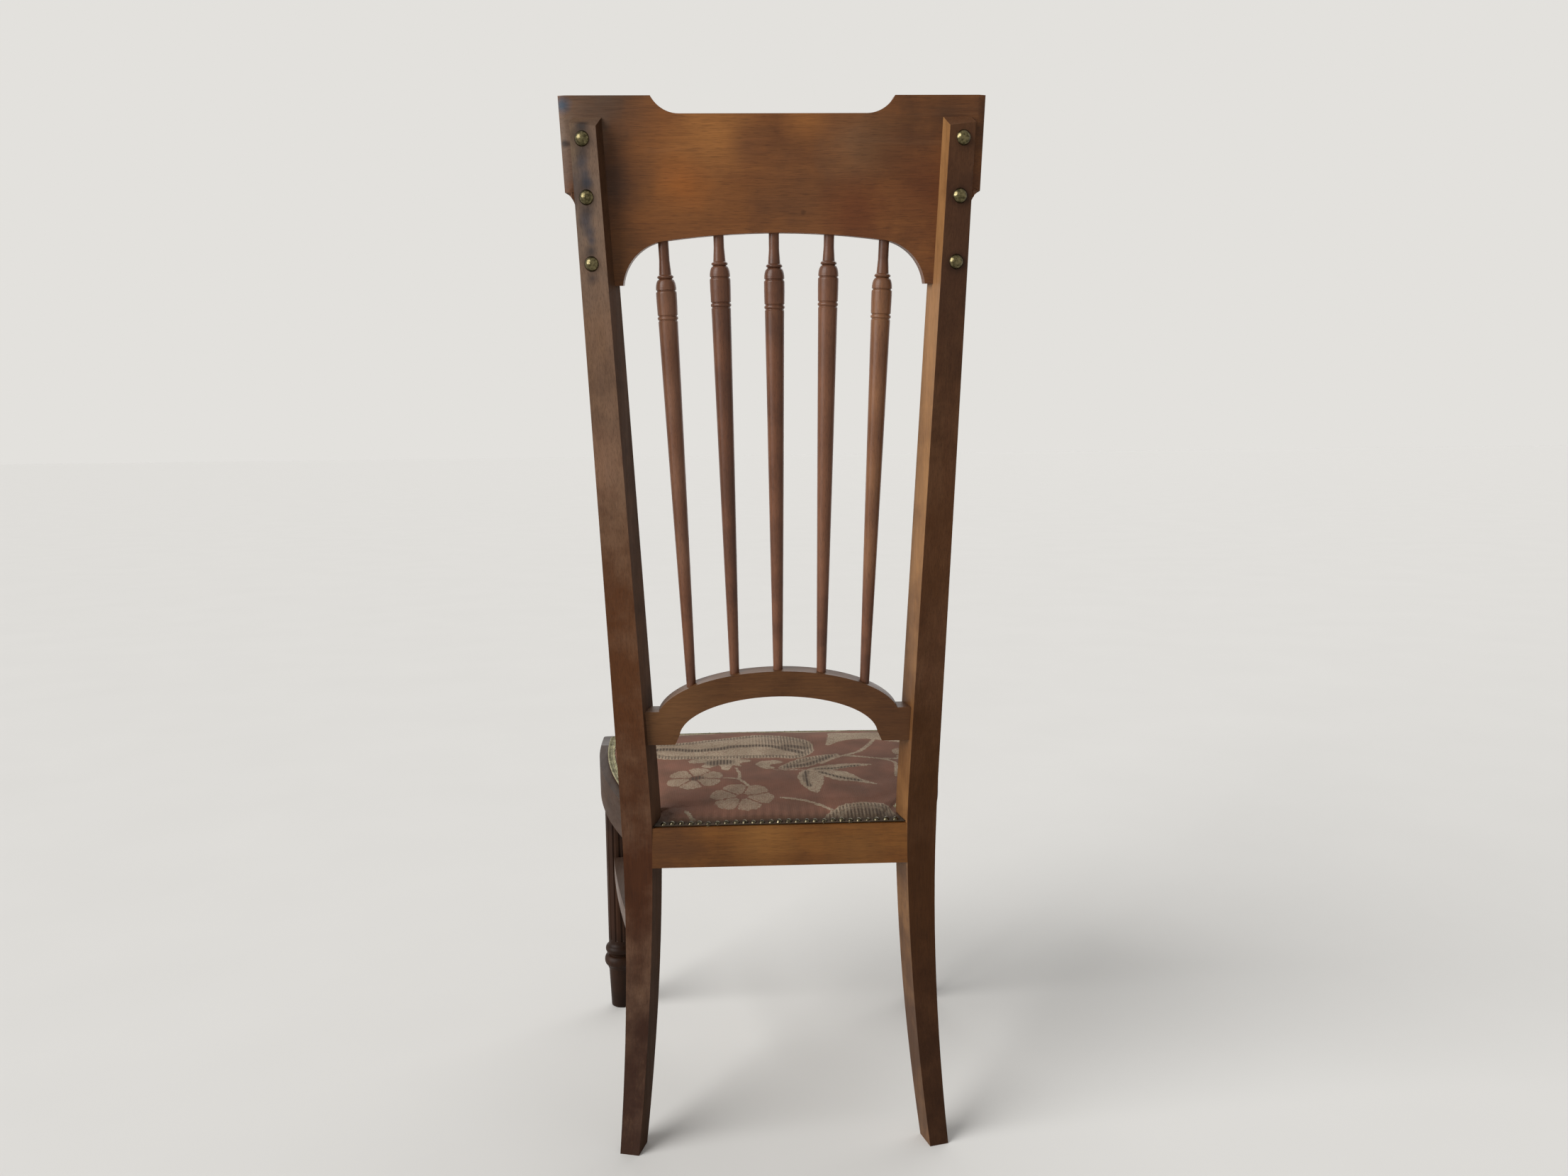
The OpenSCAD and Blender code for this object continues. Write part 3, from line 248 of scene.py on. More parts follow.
crest_patches = [
    (on_crest(0.12, 1.28), 0.09, "#7f5029", 0.7),
    (on_crest(0.07, 1.315), 0.06, "#8b5b2f", 0.8),
    (on_crest(0.11, 1.255), 0.04, "#874f22", 0.7),
    # The three dark patches beside the left post are painted shadow cast by the post
    (on_crest(0.195, 1.26), 0.055, "#3c281d", 0.85),
    (on_crest(0.2, 1.17), 0.05, "#55361d", 0.8),
    (on_crest(0.19, 1.342), 0.06, "#4c3424", 0.8),
    (on_crest(0.25, 1.32), 0.05, "#655345", 0.85),
    (on_crest(0.205, 1.358), 0.035, "#4c3b2f", 0.85),
    (on_crest(0.253, 1.346), 0.013, "#3a4653", 0.9),
    (on_crest(0.251, 1.3026), 0.0045, "#1f140d", 0.9),
    (on_crest(0.246, 1.302), 0.004, "#1f140d", 0.9),
    (on_crest(0.268, 1.27), 0.03, "#5c4638", 0.7),
    (on_crest(-0.03, 1.24), 0.07, "#5c3a22", 0.7),
    (on_crest(-0.10, 1.305), 0.055, "#664a33", 0.55),
    (on_crest(0.03, 1.3), 0.03, "#553420", 0.6),
    (on_crest(-0.15, 1.3), 0.05, "#56371f", 0.7),
    (on_crest(-0.04, 1.337), 0.035, "#84542a", 0.75),
    (on_crest(-0.1, 1.22), 0.05, "#5a3019", 0.7),
    (on_crest(-0.19, 1.25), 0.07, "#522d17", 0.85),
    (on_crest(-0.21, 1.335), 0.055, "#402818", 0.85),
    (on_crest(-0.275, 1.32), 0.04, "#382214", 0.85),
    (on_crest(-0.036, 1.222), 0.004, "#2a170d", 0.8),
    (on_crest(-0.188, 1.222), 0.003, "#3c160b", 0.8),
]
woods = {}
woods["crest"] = varnished_walnut("walnut_crest", ALONG_X, "#462a19", "#673f21", "#774b26", crest_patches)
print("patches on the crest board", len(crest_patches))

# %% Finishes of the posts
woods["post_left"] = varnished_walnut(
    "walnut_post_left", ALONG_Z, "#3e2c22", "#604836", "#6a5242",
    # The first, large grey patch high on the back is partly painted sheen of the window light, partly grey
    # stain
    [((0.24, 0.22, 1.22), 0.14, "#65564a", 0.6), ((0.25, 0.25, 1.25), 0.03, "#37302e", 0.8),
     ((0.25, 0.22, 1.20), 0.025, "#3f3733", 0.7), ((0.24, 0.2, 1.12), 0.03, "#443934", 0.6),
     ((0.25, 0.24, 1.3), 0.035, "#54462f", 0.6), ((0.23, 0.19, 0.92), 0.06, "#71513e", 0.6),
     # The patches from here down darken the post towards the floor: painted shade
     ((0.2, 0.14, 0.66), 0.26, "#45260f", 0.92), ((0.19, 0.14, 0.36), 0.2, "#381c0a", 0.97),
     ((0.19, 0.16, 0.0), 0.34, "#281307", 0.97)] + stud_shade_and_stains_left, shine=0.09)
# The left post's inner side: a darker copy of its finish, painted shade
woods["post_left_side"] = varnished_walnut(
    "walnut_side_painted_shade", ALONG_Z, "#332115", "#4c3424", "#593f2d",
    # Darker towards the floor: painted shade
    [((0.18, 0.14, 0.1), 0.34, "#3a281c", 0.8)],
    satin=0.7, shine=0.05)
woods["post_right"] = varnished_walnut(
    "walnut_post_right", ALONG_Z, "#392315", "#533623", "#60432d",
    [((-0.24, 0.24, 1.2), 0.16, "#432c20", 0.6), ((-0.2, 0.16, 0.8), 0.16, "#4a2c15", 0.7),
     # The lowest patches darken the post towards the floor: painted shade
     ((-0.19, 0.14, 0.5), 0.16, "#44280f", 0.8), ((-0.19, 0.14, 0.3), 0.3, "#3c220d", 0.85),
     ((-0.19, 0.16, 0.0), 0.3, "#2e1b0f", 0.9)] + stud_shade_and_stains_right,
    shine=0.09)
# The right post's inner side: a lighter, more orange copy of its finish, painted light from the window side
woods["post_right_side"] = varnished_walnut(
    "walnut_side_painted_light", ALONG_Z, "#5a3b21", "#795532", "#8a643e",
    # A lighter patch high up is painted light, and the darker ones towards the floor are painted shade
    [((-0.22, 0.2, 1.08), 0.12, "#8b6542", 0.7), ((-0.18, 0.1, 0.56), 0.2, "#4d3018", 0.8),
     ((-0.19, 0.14, 0.1), 0.34, "#352012", 0.9)])
print("post finishes ready")

# %% Finishes of the rails, spindles, legs and edges
def on_spindle(steps, z):
    """A place on a spindle's axis, counted in steps from the middle one."""
    share = (z - 0.645) / 0.555
    return steps * (0.0575 + 0.0108 * share), 0.182 + 0.06 * share, z


spindle_patches = [(on_spindle(steps, z), 0.055, colour, 0.65)
                   for steps, colour in ((2, "#74503b"), (1, "#4c3022"), (-1, "#68442f"), (-2, "#775236"))
                   for z in (0.8, 0.9, 1.0, 1.1)]
woods["spindle"] = varnished_walnut("walnut_spindle", ALONG_Z, "#40261a", "#5e3b28", "#6f4a34",
                                    spindle_patches, satin=0.34, shine=0.26)
woods["arch"] = varnished_walnut("walnut_arch", ALONG_X, "#3a220f", "#51331b", "#5e3e22",
                                 [((0.15, 0.19, 0.6), 0.07, "#674629", 0.7),
                                  ((-0.14, 0.19, 0.58), 0.07, "#492d18", 0.7)])
woods["rear_rail"] = varnished_walnut("walnut_rear_rail", ALONG_X, "#422710", "#603a18", "#744c22",
                                      [((0.15, 0.17, 0.41), 0.06, "#4b2e18", 0.8),
                                       ((0.02, 0.17, 0.42), 0.05, "#7a5228", 0.7),
                                       ((-0.1, 0.17, 0.39), 0.05, "#684420", 0.6)])
woods["side_rail"] = varnished_walnut("walnut_side_rail", ALONG_Y, "#2a1d15", "#3b2b21", "#47372c",
                                      satin=0.6, shine=0.1)
woods["front_rail"] = varnished_walnut("walnut_front_rail", ALONG_X, "#21160f", "#33251b", "#403127",
                                       shine=0.16)
woods["leg"] = varnished_walnut("walnut_leg", ALONG_Z, "#170c06", "#2a180e", "#3d281a",
                                # The patch darkens the leg towards the floor: painted shade
                                [((0.2575, -0.2285, 0.0), 0.13, "#1a0f09", 0.85)], shine=0.1)
woods["stretcher"] = varnished_walnut("walnut_stretcher", ALONG_Y, "#33241c", "#4a382d", "#5a493e")
woods["edge_x"] = varnished_walnut("walnut_worn_edge_x", ALONG_X, "#3d2515", "#5a3b24", "#6f5038",
                                   rubbed=0.3)
woods["edge_z"] = varnished_walnut("walnut_worn_edge_z", ALONG_Z, "#3a2518", "#593c29", "#6f5038",
                                   rubbed=0.3)
# The rear rail's edges: rubbed lighter, and painted lighter still as the highlight on the top arris
woods["rail_edge_worn_and_highlit"] = varnished_walnut("walnut_rail_edge", ALONG_X, "#5f3c1c", "#8a5a30", "#a06c3c",
                                      rubbed=0.2)
woods["block"] = varnished_walnut("beech_block", ALONG_X, "#80623c", "#a58555", "#b89a6a", satin=0.62)
print("wood finishes", len(woods))

# %% [markdown]
# ## Brass, steel and cloth finishes
#
# The studs and nails are cast and pressed brass that has dulled to olive gold, darkest in its
# hollows. Metallic is 1 and the index of refraction keeps its default. The screws are plain steel.

# %% Metal materials
def dulled_metal(name, bright, dull, scale, satin):
    material, tree, shader, place = new_material(name)
    cloud = add_node(tree, "ShaderNodeTexNoise", {"Vector": place, "Scale": scale, "Detail": 4,
                                                  "Roughness": 0.65})
    tint = lay_over(tree, bright, dull, cloud, 0.4, 0.62)
    rough = add_node(tree, "ShaderNodeMapRange", [cloud, 0.35, 0.65, satin - 0.08, satin + 0.15])
    bump = add_node(tree, "ShaderNodeBump", {"Height": cloud, "Strength": 0.3, "Distance": 0.0004})
    feed(shader, {"Base Color": tint, "Roughness": rough, "Normal": bump, "Metallic": 1.0})
    return material


stud_brass = dulled_metal("cast_brass_stud", "#71684b", "#423c28", 260.0, 0.17)
nail_brass = dulled_metal("pressed_brass_nail", "#5a5341", "#1d1913", 420.0, 0.22)
screw_steel = dulled_metal("turned_steel_screw", "#8f8d88", "#6a6762", 300.0, 0.4)
print("metal finishes", stud_brass.name, nail_brass.name, screw_steel.name)

# %% [markdown]
# ## Softening the joiner's edges
#
# No old chair has a sharp edge. Each wooden piece is a copy of its CAD node: its loose triangles are
# merged, flat areas are dissolved into single faces, and a Bevel modifier rounds the edges. The bevel
# gets its own material, rubbed lighter than the faces; on the rear rail it is also painted lighter as a
# highlight. The inner side of each rear post gets its own copy of the finish: darker on the left post as
# painted shade, lighter on the right post as painted light. A Weighted Normal modifier then keeps the
# flat faces flat under smooth shading. The crest board's ends also have a wide chamfer at the back.

# %% Copy one CAD node and finish a piece
def select_only(*objects):
    bpy.ops.object.select_all(action="DESELECT")
    for thing in objects:
        thing.select_set(True)
    bpy.context.view_layer.objects.active = objects[0]


def apply_all(thing):
    select_only(thing)
    for modifier in list(thing.modifiers):
        bpy.ops.object.modifier_apply(modifier=modifier.name)


def merged_copy(node, name):
    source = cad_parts[node]
    copy = bpy.data.objects.new(name, source.data.copy())
    copy.matrix_world = source.matrix_world.copy()
    bpy.context.collection.objects.link(copy)
    select_only(copy)
    bpy.ops.object.mode_set(mode="EDIT")
    bpy.ops.mesh.select_all(action="SELECT")
    bpy.ops.mesh.remove_doubles(threshold=0.00001)
    bpy.ops.mesh.dissolve_limited(angle_limit=math.radians(0.2))
    bpy.ops.object.mode_set(mode="OBJECT")
    return copy


def finish_piece(piece, node):
    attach(piece, "root")
    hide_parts(node)


print("copying ready")

# %% Soften one CAD node
SHARP = math.radians(38)
END_REACH = 0.245
END_CHAMFER = 0.0055
SAME_PLANE = 0.0006


def chamfer_ends(piece):
    """A wide flat chamfer along the back edges of the crest board's two ends."""
    mesh = bmesh.new()
    mesh.from_mesh(piece.data)
    chosen = []
    for edge in mesh.edges:
        on_back = all(abs(v.co.y - on_crest(0, v.co.z)[1] - CREST_INSET) < SAME_PLANE for v in edge.verts)
        middle = (edge.verts[0].co + edge.verts[1].co) / 2
        if on_back and abs(middle.x) > END_REACH and edge.calc_face_angle(0) > SHARP:
            chosen.append(edge)
    bmesh.ops.bevel(mesh, geom=chosen, offset=END_CHAMFER, offset_type="OFFSET", segments=1, affect="EDGES")
    mesh.to_mesh(piece.data)
    mesh.free()
    print("chamfered", len(chosen), "edges of the crest board")


def softened(node, face, edge, width, painted_side=None):
    """A worn copy of a node; the last argument gives a direction along X and a copy of the finish, lighter as
    painted light or darker as painted shade, for the side facing that way.
    """
    piece = merged_copy(node, "worn_" + node)
    if node == "crest_rail":
        chamfer_ends(piece)
    piece.data.materials.clear()
    piece.data.materials.append(face)
    piece.data.materials.append(edge)
    if painted_side:
        facing, material = painted_side
        piece.data.materials.append(material)
        for polygon in piece.data.polygons:
            if polygon.normal.x * facing > 0.8:
                polygon.material_index = 2
    bevel = piece.modifiers.new("edges", "BEVEL")
    bevel.width = width * MM
    bevel.segments = 3
    bevel.limit_method = "ANGLE"
    bevel.angle_limit = SHARP
    bevel.material = 1
    bevel.use_clamp_overlap = True
    piece.modifiers.new("flat faces", "WEIGHTED_NORMAL")
    select_only(piece)
    bpy.ops.object.shade_smooth_by_angle(angle=math.radians(36))
    apply_all(piece)
    finish_piece(piece, node)
    return piece


print("bevel ready")

# %% Soften every wooden piece
wooden = [
    ("rear_post_left", "post_left", "edge_z", "walnut", 1.6),
    ("rear_post_right", "post_right", "edge_z", "dark_walnut", 1.6),
    ("crest_rail", "crest", "edge_x", "walnut", 1.6),
    ("lower_arch_rail", "arch", "edge_x", "walnut", 1.3),
    ("rear_seat_rail", "rear_rail", "rail_edge_worn_and_highlit", "honey_walnut", 1.2),
    ("side_seat_rail_left", "side_rail", "edge_x", "walnut", 1.6),
    ("side_seat_rail_right", "side_rail", "edge_x", "walnut", 1.6),
    ("front_seat_rail", "front_rail", "edge_x", "walnut", 1.6),
    ("front_leg_left", "leg", "edge_z", "dark_walnut", 0.5),
    ("front_leg_right", "leg", "edge_z", "dark_walnut", 0.5),
    ("side_stretcher_left", "stretcher", "edge_x", "walnut", 1.4),
    ("side_stretcher_right", "stretcher", "edge_x", "walnut", 1.4),
    ("corner_block_front_left", "block", "block", "raw_wood", 1.0),
    ("corner_block_front_right", "block", "block", "raw_wood", 1.0),
    ("corner_block_rear_left", "block", "block", "raw_wood", 1.0),
    ("corner_block_rear_right", "block", "block", "raw_wood", 1.0),
]
# The left post's inner side gets a darker copy of its finish as painted shade, the right post's a lighter one
# as painted light
sides = {"rear_post_left": (-1, woods["post_left_side"]), "rear_post_right": (1, woods["post_right_side"])}
for node, face, edge, slot, width in wooden:
    piece = softened(node, woods[face], woods[edge], width, sides.get(node))
print("softened", len(wooden), "pieces; the last has", len(piece.data.polygons), "faces")

# %% Dress the pieces that keep their CAD shape, and the nails before they are copied
def dress(node, material):
    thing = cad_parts[node]
    thing.data.materials.clear()
    thing.data.materials.append(material)


for i in range(1, 6):
    dress("spindle_%d" % i, woods["spindle"])
for node, metal in (("crest_studs_left", stud_brass), ("crest_studs_right", stud_brass),
                    ("rear_nails", nail_brass), ("corner_block_screws", screw_steel)):
    dress(node, metal)
print("dressed the turned and metal pieces")

# %% [markdown]
# ## The seat's shape in plan
#
# The seat is wider at the front, its sides are arcs, and its front is slightly bowed. These are the
# same sizes as in the CAD model. `seat_point` turns a place on the seat (across, forwards from the
# rear rail's back, height above the frame) into a point of the room.

# %% Seat plan
SEAT_MIDDLE = 0.005
SEAT_HALF = 0.2735
SEAT_DEPTH = 0.434
SIDE_R = 0.770
SIDE_STRAIGHT = 0.033
FRONT_BOW = 0.010
SLOPE = math.radians(3.3)
SEAT_HEIGHT = 0.430
BACK_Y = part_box("rear_seat_rail")[1][1]


def seat_point(across, forwards, height):
    return Vector((across, BACK_Y - forwards * math.cos(SLOPE) + height * math.sin(SLOPE),
                   SEAT_HEIGHT + forwards * math.sin(SLOPE) + height * math.cos(SLOPE)))


def side_reach(forwards, margin):
    """Half width at a distance from the back, drawn in from the outer edge by a margin."""
    into_bow = max(SEAT_DEPTH - SIDE_STRAIGHT - forwards, 0)
    return SEAT_HALF - SIDE_R + math.sqrt((SIDE_R - margin) ** 2 - into_bow ** 2)


def front_reach(across, margin):
    radius = (SEAT_HALF ** 2 + FRONT_BOW ** 2) / (2 * FRONT_BOW)
    return SEAT_DEPTH - margin + FRONT_BOW - radius + math.sqrt(radius ** 2 - (across - SEAT_MIDDLE) ** 2)


print("seat rear edge at y", round(BACK_Y, 4), "front half width", SEAT_HALF)

# %% [markdown]
# ## The padding
#
# Horsehair and wadding under a tight cover swell into a low crown. A closed copy of the CAD pad is
# remeshed into even cells, blown up a little by Blender's cloth with pressure, and held back so that
# no point moves more than 2 mm. The result is applied, so nothing moves later.

# %% Pad
PAD_CELL = 0.006
SWELL_STEPS = 20
SWELL_LIMIT = 0.002
PAD_BACK = 0.020
POST_ZONE = 0.062
PAD_BETWEEN_POSTS = 0.150

pad = merged_copy("seat_padding", "seat_pad")
pad.data.materials.clear()
remesh = pad.modifiers.new("even cells", "REMESH")
remesh.mode = "VOXEL"
remesh.voxel_size = PAD_CELL
apply_all(pad)
rest_places = [v.co.copy() for v in pad.data.vertices]
cloth = pad.modifiers.new("swelling", "CLOTH")
cloth.settings.use_pressure = True
cloth.settings.uniform_pressure_force = 4
cloth.settings.effector_weights.gravity = 0
cloth.settings.quality = 5
cloth.point_cache.frame_start = 1
cloth.point_cache.frame_end = SWELL_STEPS
for step in range(1, SWELL_STEPS + 1):
    bpy.context.scene.frame_set(step)
apply_all(pad)
bpy.context.scene.frame_set(1)
for vertex, start in zip(pad.data.vertices, rest_places):
    move = vertex.co - start
    if move.length > SWELL_LIMIT:
        move = move.normalized() * SWELL_LIMIT
    vertex.co = start + move
    # The back edge is held down by the nails, and the rear corners by the posts
    behind = BACK_Y - vertex.co.y
    vertex.co.y = BACK_Y - max(behind, PAD_BACK)
    if behind < POST_ZONE:
        vertex.co.x = min(max(vertex.co.x, -PAD_BETWEEN_POSTS), PAD_BETWEEN_POSTS)
print("pad cells", len(pad.data.polygons))

# %% [markdown]
# ## The cover's cloth
#
# The tapestry is one sheet, stretched over the pad and nailed at its edges. It starts as a flat
# primitive grid. Each row is spread to the seat's width at its place, and the whole sheet is then
# pressed down by a Shrinkwrap modifier onto a copy of the pad and the hessian under it. Beside them it
# lies flat on the frame. Averaging neighbours many times makes it a tight skin from nails to pad.

# %% Cover sheet
ROWS, COLUMNS = 190, 240
MARGIN = 0.013
BACK_MARGIN = 0.0035
POST_FRONT = 0.054
POST_SIDE = 0.1706
POST_TURN = 0.267
POST_NOSE = 0.0315
POST_CHAMFER = 0.43
CLOTH = 0.0015
BRAID_ROOM = 0.0252
NAIL_ROOM = 0.0138
HUNG_AT = 0.06
SMOOTHINGS = 120

bpy.ops.object.select_all(action="DESELECT")
bpy.ops.mesh.primitive_grid_add(x_subdivisions=COLUMNS - 1, y_subdivisions=ROWS - 1, size=2)
cover = bpy.context.object
cover.name = "tapestry_cover"


def between_posts(forwards):
    """Half width beside the posts: they turn inwards towards the front, and end in a chamfer."""
    past_nose = max(forwards - POST_NOSE - 0.001, 0)
    return POST_SIDE - POST_TURN * min(forwards, POST_NOSE) + POST_CHAMFER * past_nose


def cover_place(u, v):
    """u runs -1 to 1 across, v runs 0 to 1 from the back: gives (across, forwards)."""
    forwards = BACK_MARGIN + v * (SEAT_DEPTH - MARGIN - BACK_MARGIN)
    if forwards < POST_FRONT:
        return u * between_posts(forwards), forwards
    across = SEAT_MIDDLE + u * side_reach(forwards, MARGIN)
    reach = front_reach(across, MARGIN)
    return across, BACK_MARGIN + v * (reach - BACK_MARGIN)


flat_places = []
for vertex in cover.data.vertices:
    across, forwards = cover_place(vertex.co.x, 0.5 + vertex.co.y / 2)
    flat_places.append((across, forwards))
    vertex.co = seat_point(across, forwards, HUNG_AT)
flat_places = np.array(flat_places)
layers = merged_copy("hessian_base", "layers_under_the_cover")
pad_copy = pad.copy()
pad_copy.data = pad.data.copy()
bpy.context.collection.objects.link(pad_copy)
select_only(layers, pad_copy)
bpy.ops.object.join()
wrap = cover.modifiers.new("over the pad", "SHRINKWRAP")
wrap.target = layers
wrap.wrap_method = "PROJECT"
wrap.use_project_z = True
wrap.use_negative_direction = True
wrap.use_positive_direction = False
wrap.offset = 0.0012
apply_all(cover)
bpy.data.objects.remove(layers)
print("cover grid", len(cover.data.vertices), "points")

# %% Pull the cover tight between its nails
seat_up = seat_point(0, 0, 1) - seat_point(0, 0, 0)
heights = []
for vertex, (across, forwards) in zip(cover.data.vertices, flat_places):
    rise = (vertex.co - seat_point(across, forwards, 0)).dot(seat_up)
    # A point that met nothing on its way down still hangs where it started
    heights.append(rise if rise < HUNG_AT - 0.01 else CLOTH)
across = flat_places[:, 0].reshape(ROWS, COLUMNS)
forwards = flat_places[:, 1].reshape(ROWS, COLUMNS)
over_pad = np.array(heights).reshape(ROWS, COLUMNS)
# Each point takes its highest neighbour, so the pad's edge can't cut through between two points
wider = np.pad(over_pad, 1, mode="edge")
over_pad = np.max([wider[i:i + ROWS, j:j + COLUMNS] for i in range(3) for j in range(3)], axis=0)
# The nails hold it down at the back, and tacks under the braid at the sides and the front
side_room = np.array([side_reach(f, 0) for f in flat_places[:, 1]]).reshape(ROWS, COLUMNS)
side_room -= np.abs(across - SEAT_MIDDLE)
front_room = np.array([front_reach(a, 0) - f for a, f in flat_places]).reshape(ROWS, COLUMNS)
edge_room = np.minimum(side_room, front_room)
held = (forwards < NAIL_ROOM) | ((forwards > POST_FRONT) & (edge_room < BRAID_ROOM))
heights = np.where(held, CLOTH, over_pad)
for _ in range(SMOOTHINGS):
    wider = np.pad(heights, 1, mode="edge")
    mean = (wider[:-2, 1:-1] + wider[2:, 1:-1] + wider[1:-1, :-2] + wider[1:-1, 2:]) / 4
    heights = np.where(held, CLOTH, np.maximum(mean, over_pad))
rng = np.random.default_rng(4)
# Ripples between the nails die out over 3 cm; slow waves stay over the whole seat
near_back = np.exp(-(forwards - 0.014).clip(0) / 0.02)
ripple = np.cos(across / 0.012 * 2 * np.pi) * 0.0006 + np.sin(across / 0.031 + 1.3) * 0.0005
slow = 0.0006 * np.sin(across * 38 + forwards * 15) + 0.0005 * np.sin(forwards * 52 - across * 21 + 0.7)
inside = (heights > 0.004).astype(float)
heights = heights + (near_back * (ripple + 0.001) + slow.clip(0)) * inside
heights = np.maximum(heights, CLOTH)
for vertex, (a, f), h in zip(cover.data.vertices, flat_places, heights.ravel()):
    vertex.co = seat_point(a, f, h)
print("cover crown", round(float(heights.max()) / MM, 1), "mm above the frame")

# %% [markdown]
# ## The woven flowers
#
# A tapestry's pattern is part of the weave: cream and beige threads float over a dusty rose ground.
# Petals, leaves and stems are plain outlines in millimetres on the seat, across from the middle and
# forwards from the back. Each is smoothed, and every point of the cloth is told how far inside it
# lies. The answer is kept as a colour attribute that the cloth's material reads.

# %% Distance to outlines
def rounded(points, closed):
    """Catmull-Rom curve through given points."""
    points = np.array(points, float)
    count = len(points)
    result = []
    for i in range(count if closed else count - 1):
        if closed:
            a, b, c, d = (points[(i + k) % count] for k in (-1, 0, 1, 2))
        else:
            a, b, c, d = (points[min(max(i + k, 0), count - 1)] for k in (-1, 0, 1, 2))
        for t in np.linspace(0, 1, 5)[:-1]:
            result.append(0.5 * (2 * b + (c - a) * t + (2 * a - 5 * b + 4 * c - d) * t ** 2
                                 + (3 * b - a - 3 * c + d) * t ** 3))
    if not closed:
        result.append(points[-1])
    return np.array(result)


def line_distance(cloth, line, closed):
    ends = np.roll(line, -1, axis=0) if closed else line[1:]
    starts = line if closed else line[:-1]
    best = np.full(len(cloth), 1e9)
    for a, b in zip(starts, ends):
        run = b - a
        along = ((cloth - a) @ run / max(run @ run, 1e-9)).clip(0, 1)
        best = np.minimum(best, np.linalg.norm(cloth - a - along[:, None] * run, axis=1))
    return best


def inside_distance(cloth, outline):
    """Positive inside, negative outside, in mm."""
    inside = np.zeros(len(cloth), bool)
    for a, b in zip(outline, np.roll(outline, -1, axis=0)):
        crosses = (a[1] > cloth[:, 1]) != (b[1] > cloth[:, 1])
        with np.errstate(divide="ignore", invalid="ignore"):
            at = (b[0] - a[0]) * (cloth[:, 1] - a[1]) / (b[1] - a[1]) + a[0]
        inside ^= crosses & (cloth[:, 0] < at)
    distance = line_distance(cloth, outline, True)
    return np.where(inside, distance, -distance)


print("outline helpers ready")

# %% How a shape is woven in
# Woven edges step and wander by about a millimetre
cloth_mm = flat_places / MM
a_mm, f_mm = cloth_mm[:, 0], cloth_mm[:, 1]
wander = np.stack([np.sin(f_mm * 0.9 + np.sin(a_mm * 0.31) * 2) + np.sin(a_mm * 0.47 + f_mm * 0.23),
                   np.sin(a_mm * 0.8 + np.sin(f_mm * 0.37) * 2) + np.sin(f_mm * 0.52 - a_mm * 0.19)], axis=1)
woven_mm = cloth_mm + 0.55 * wander + rng.uniform(-0.5, 0.5, cloth_mm.shape)
motif = np.full(len(cloth_mm), -1e9)
dark = np.zeros(len(cloth_mm))
stitches = np.zeros(len(cloth_mm))
rosy = np.zeros(len(cloth_mm))


def weave(distance, pinkness=0.0):
    """Adds a shape; the pinkness says how thinly its cream threads are woven."""
    global motif
    motif = np.maximum(motif, distance)
    rosy[distance > 0] = pinkness


def leaf(points, toothed=False):
    """A toothed leaf has a ladder of short stitches inside its edge, and a dark line along it."""
    global dark, stitches
    distance = inside_distance(woven_mm, rounded(points, True))
    weave(distance)
    if toothed:
        stitches = np.maximum(stitches, (1 - np.abs(distance - 6) / 5).clip(0, 0.5) * 2)
        dark = np.maximum(dark, 0.8 * (1.4 - np.abs(distance - 12) / 2.6).clip(0, 1))


def stem(points, width):
    weave(width / 2 - line_distance(woven_mm, rounded(points, False), False))


def flower(middle, reach, turn, pinkness):
    """Six wedge-shaped petals with round ends, parted by thin gaps, around a small open middle."""
    away = woven_mm - np.array(middle)
    out = np.hypot(away[:, 0], away[:, 1])
    angle = np.degrees(np.arctan2(away[:, 1], away[:, 0]))
    off = np.abs((angle - turn + 30) % 60 - 30)
    tip = reach * (1 - 0.2 * (off / 30) ** 2.5) - out
    gap = out * np.sin(np.radians(30 - off)) - 1.6
    weave(np.minimum(np.minimum(tip, gap), out - 0.2 * reach), pinkness)


def dark_line(points, width):
    """A line of dark threads."""
    global dark
    distance = line_distance(woven_mm, rounded(points, False), False)
    dark = np.maximum(dark, (1.8 - 1.6 * distance / width).clip(0, 1))


print("weaving ready for", len(woven_mm), "points")

# %% Flowers and leaves
flower((50, 77), 45, 12, 0.75)
flower((118, 151), 42, 40, 0.45)
flower((-225, 265), 42, 20, 0.5)
leaf([(100, 193), (84, 208), (78, 186), (68, 185), (64, 206), (50, 200), (52, 214), (34, 226), (52, 236),
      (70, 250), (100, 244), (128, 233), (126, 219), (104, 217), (110, 200)])
leaf([(196, 275), (165, 247), (120, 238), (60, 238), (0, 238), (-35, 230), (-58, 255), (-63, 290),
      (-55, 325), (-22, 358), (20, 371), (60, 358), (105, 340), (150, 325), (196, 330)], toothed=True)
leaf([(28, 205), (14, 186), (0, 190), (8, 203), (-12, 214), (-2, 226), (20, 222)])
leaf([(-56, 83), (-38, 108), (-31, 140), (-36, 168), (-50, 178), (-66, 158), (-69, 130), (-63, 105)])
leaf([(-146, 120), (-112, 126), (-88, 129), (-70, 147), (-58, 172), (-84, 173), (-108, 162), (-124, 138)])
leaf([(-46, 178), (-80, 174), (-106, 184), (-148, 203), (-110, 203), (-74, 196)])
leaf([(-6, 184), (-44, 189), (-74, 213), (-100, 250), (-70, 243), (-40, 229), (-16, 208)], toothed=True)
leaf([(-84, 296), (-112, 318), (-150, 330), (-215, 322), (-222, 372), (-150, 377), (-96, 377), (-90, 345)])
leaf([(-58, 6), (-72, 28), (-90, 46), (-122, 53), (-150, 51), (-158, 34), (-160, 6), (-110, 0)], toothed=True)
leaf([(230, 130), (205, 150), (192, 190), (205, 225), (225, 200), (238, 160)])
leaf([(-205, 120), (-196, 150), (-205, 185), (-225, 200), (-232, 160), (-222, 130)])
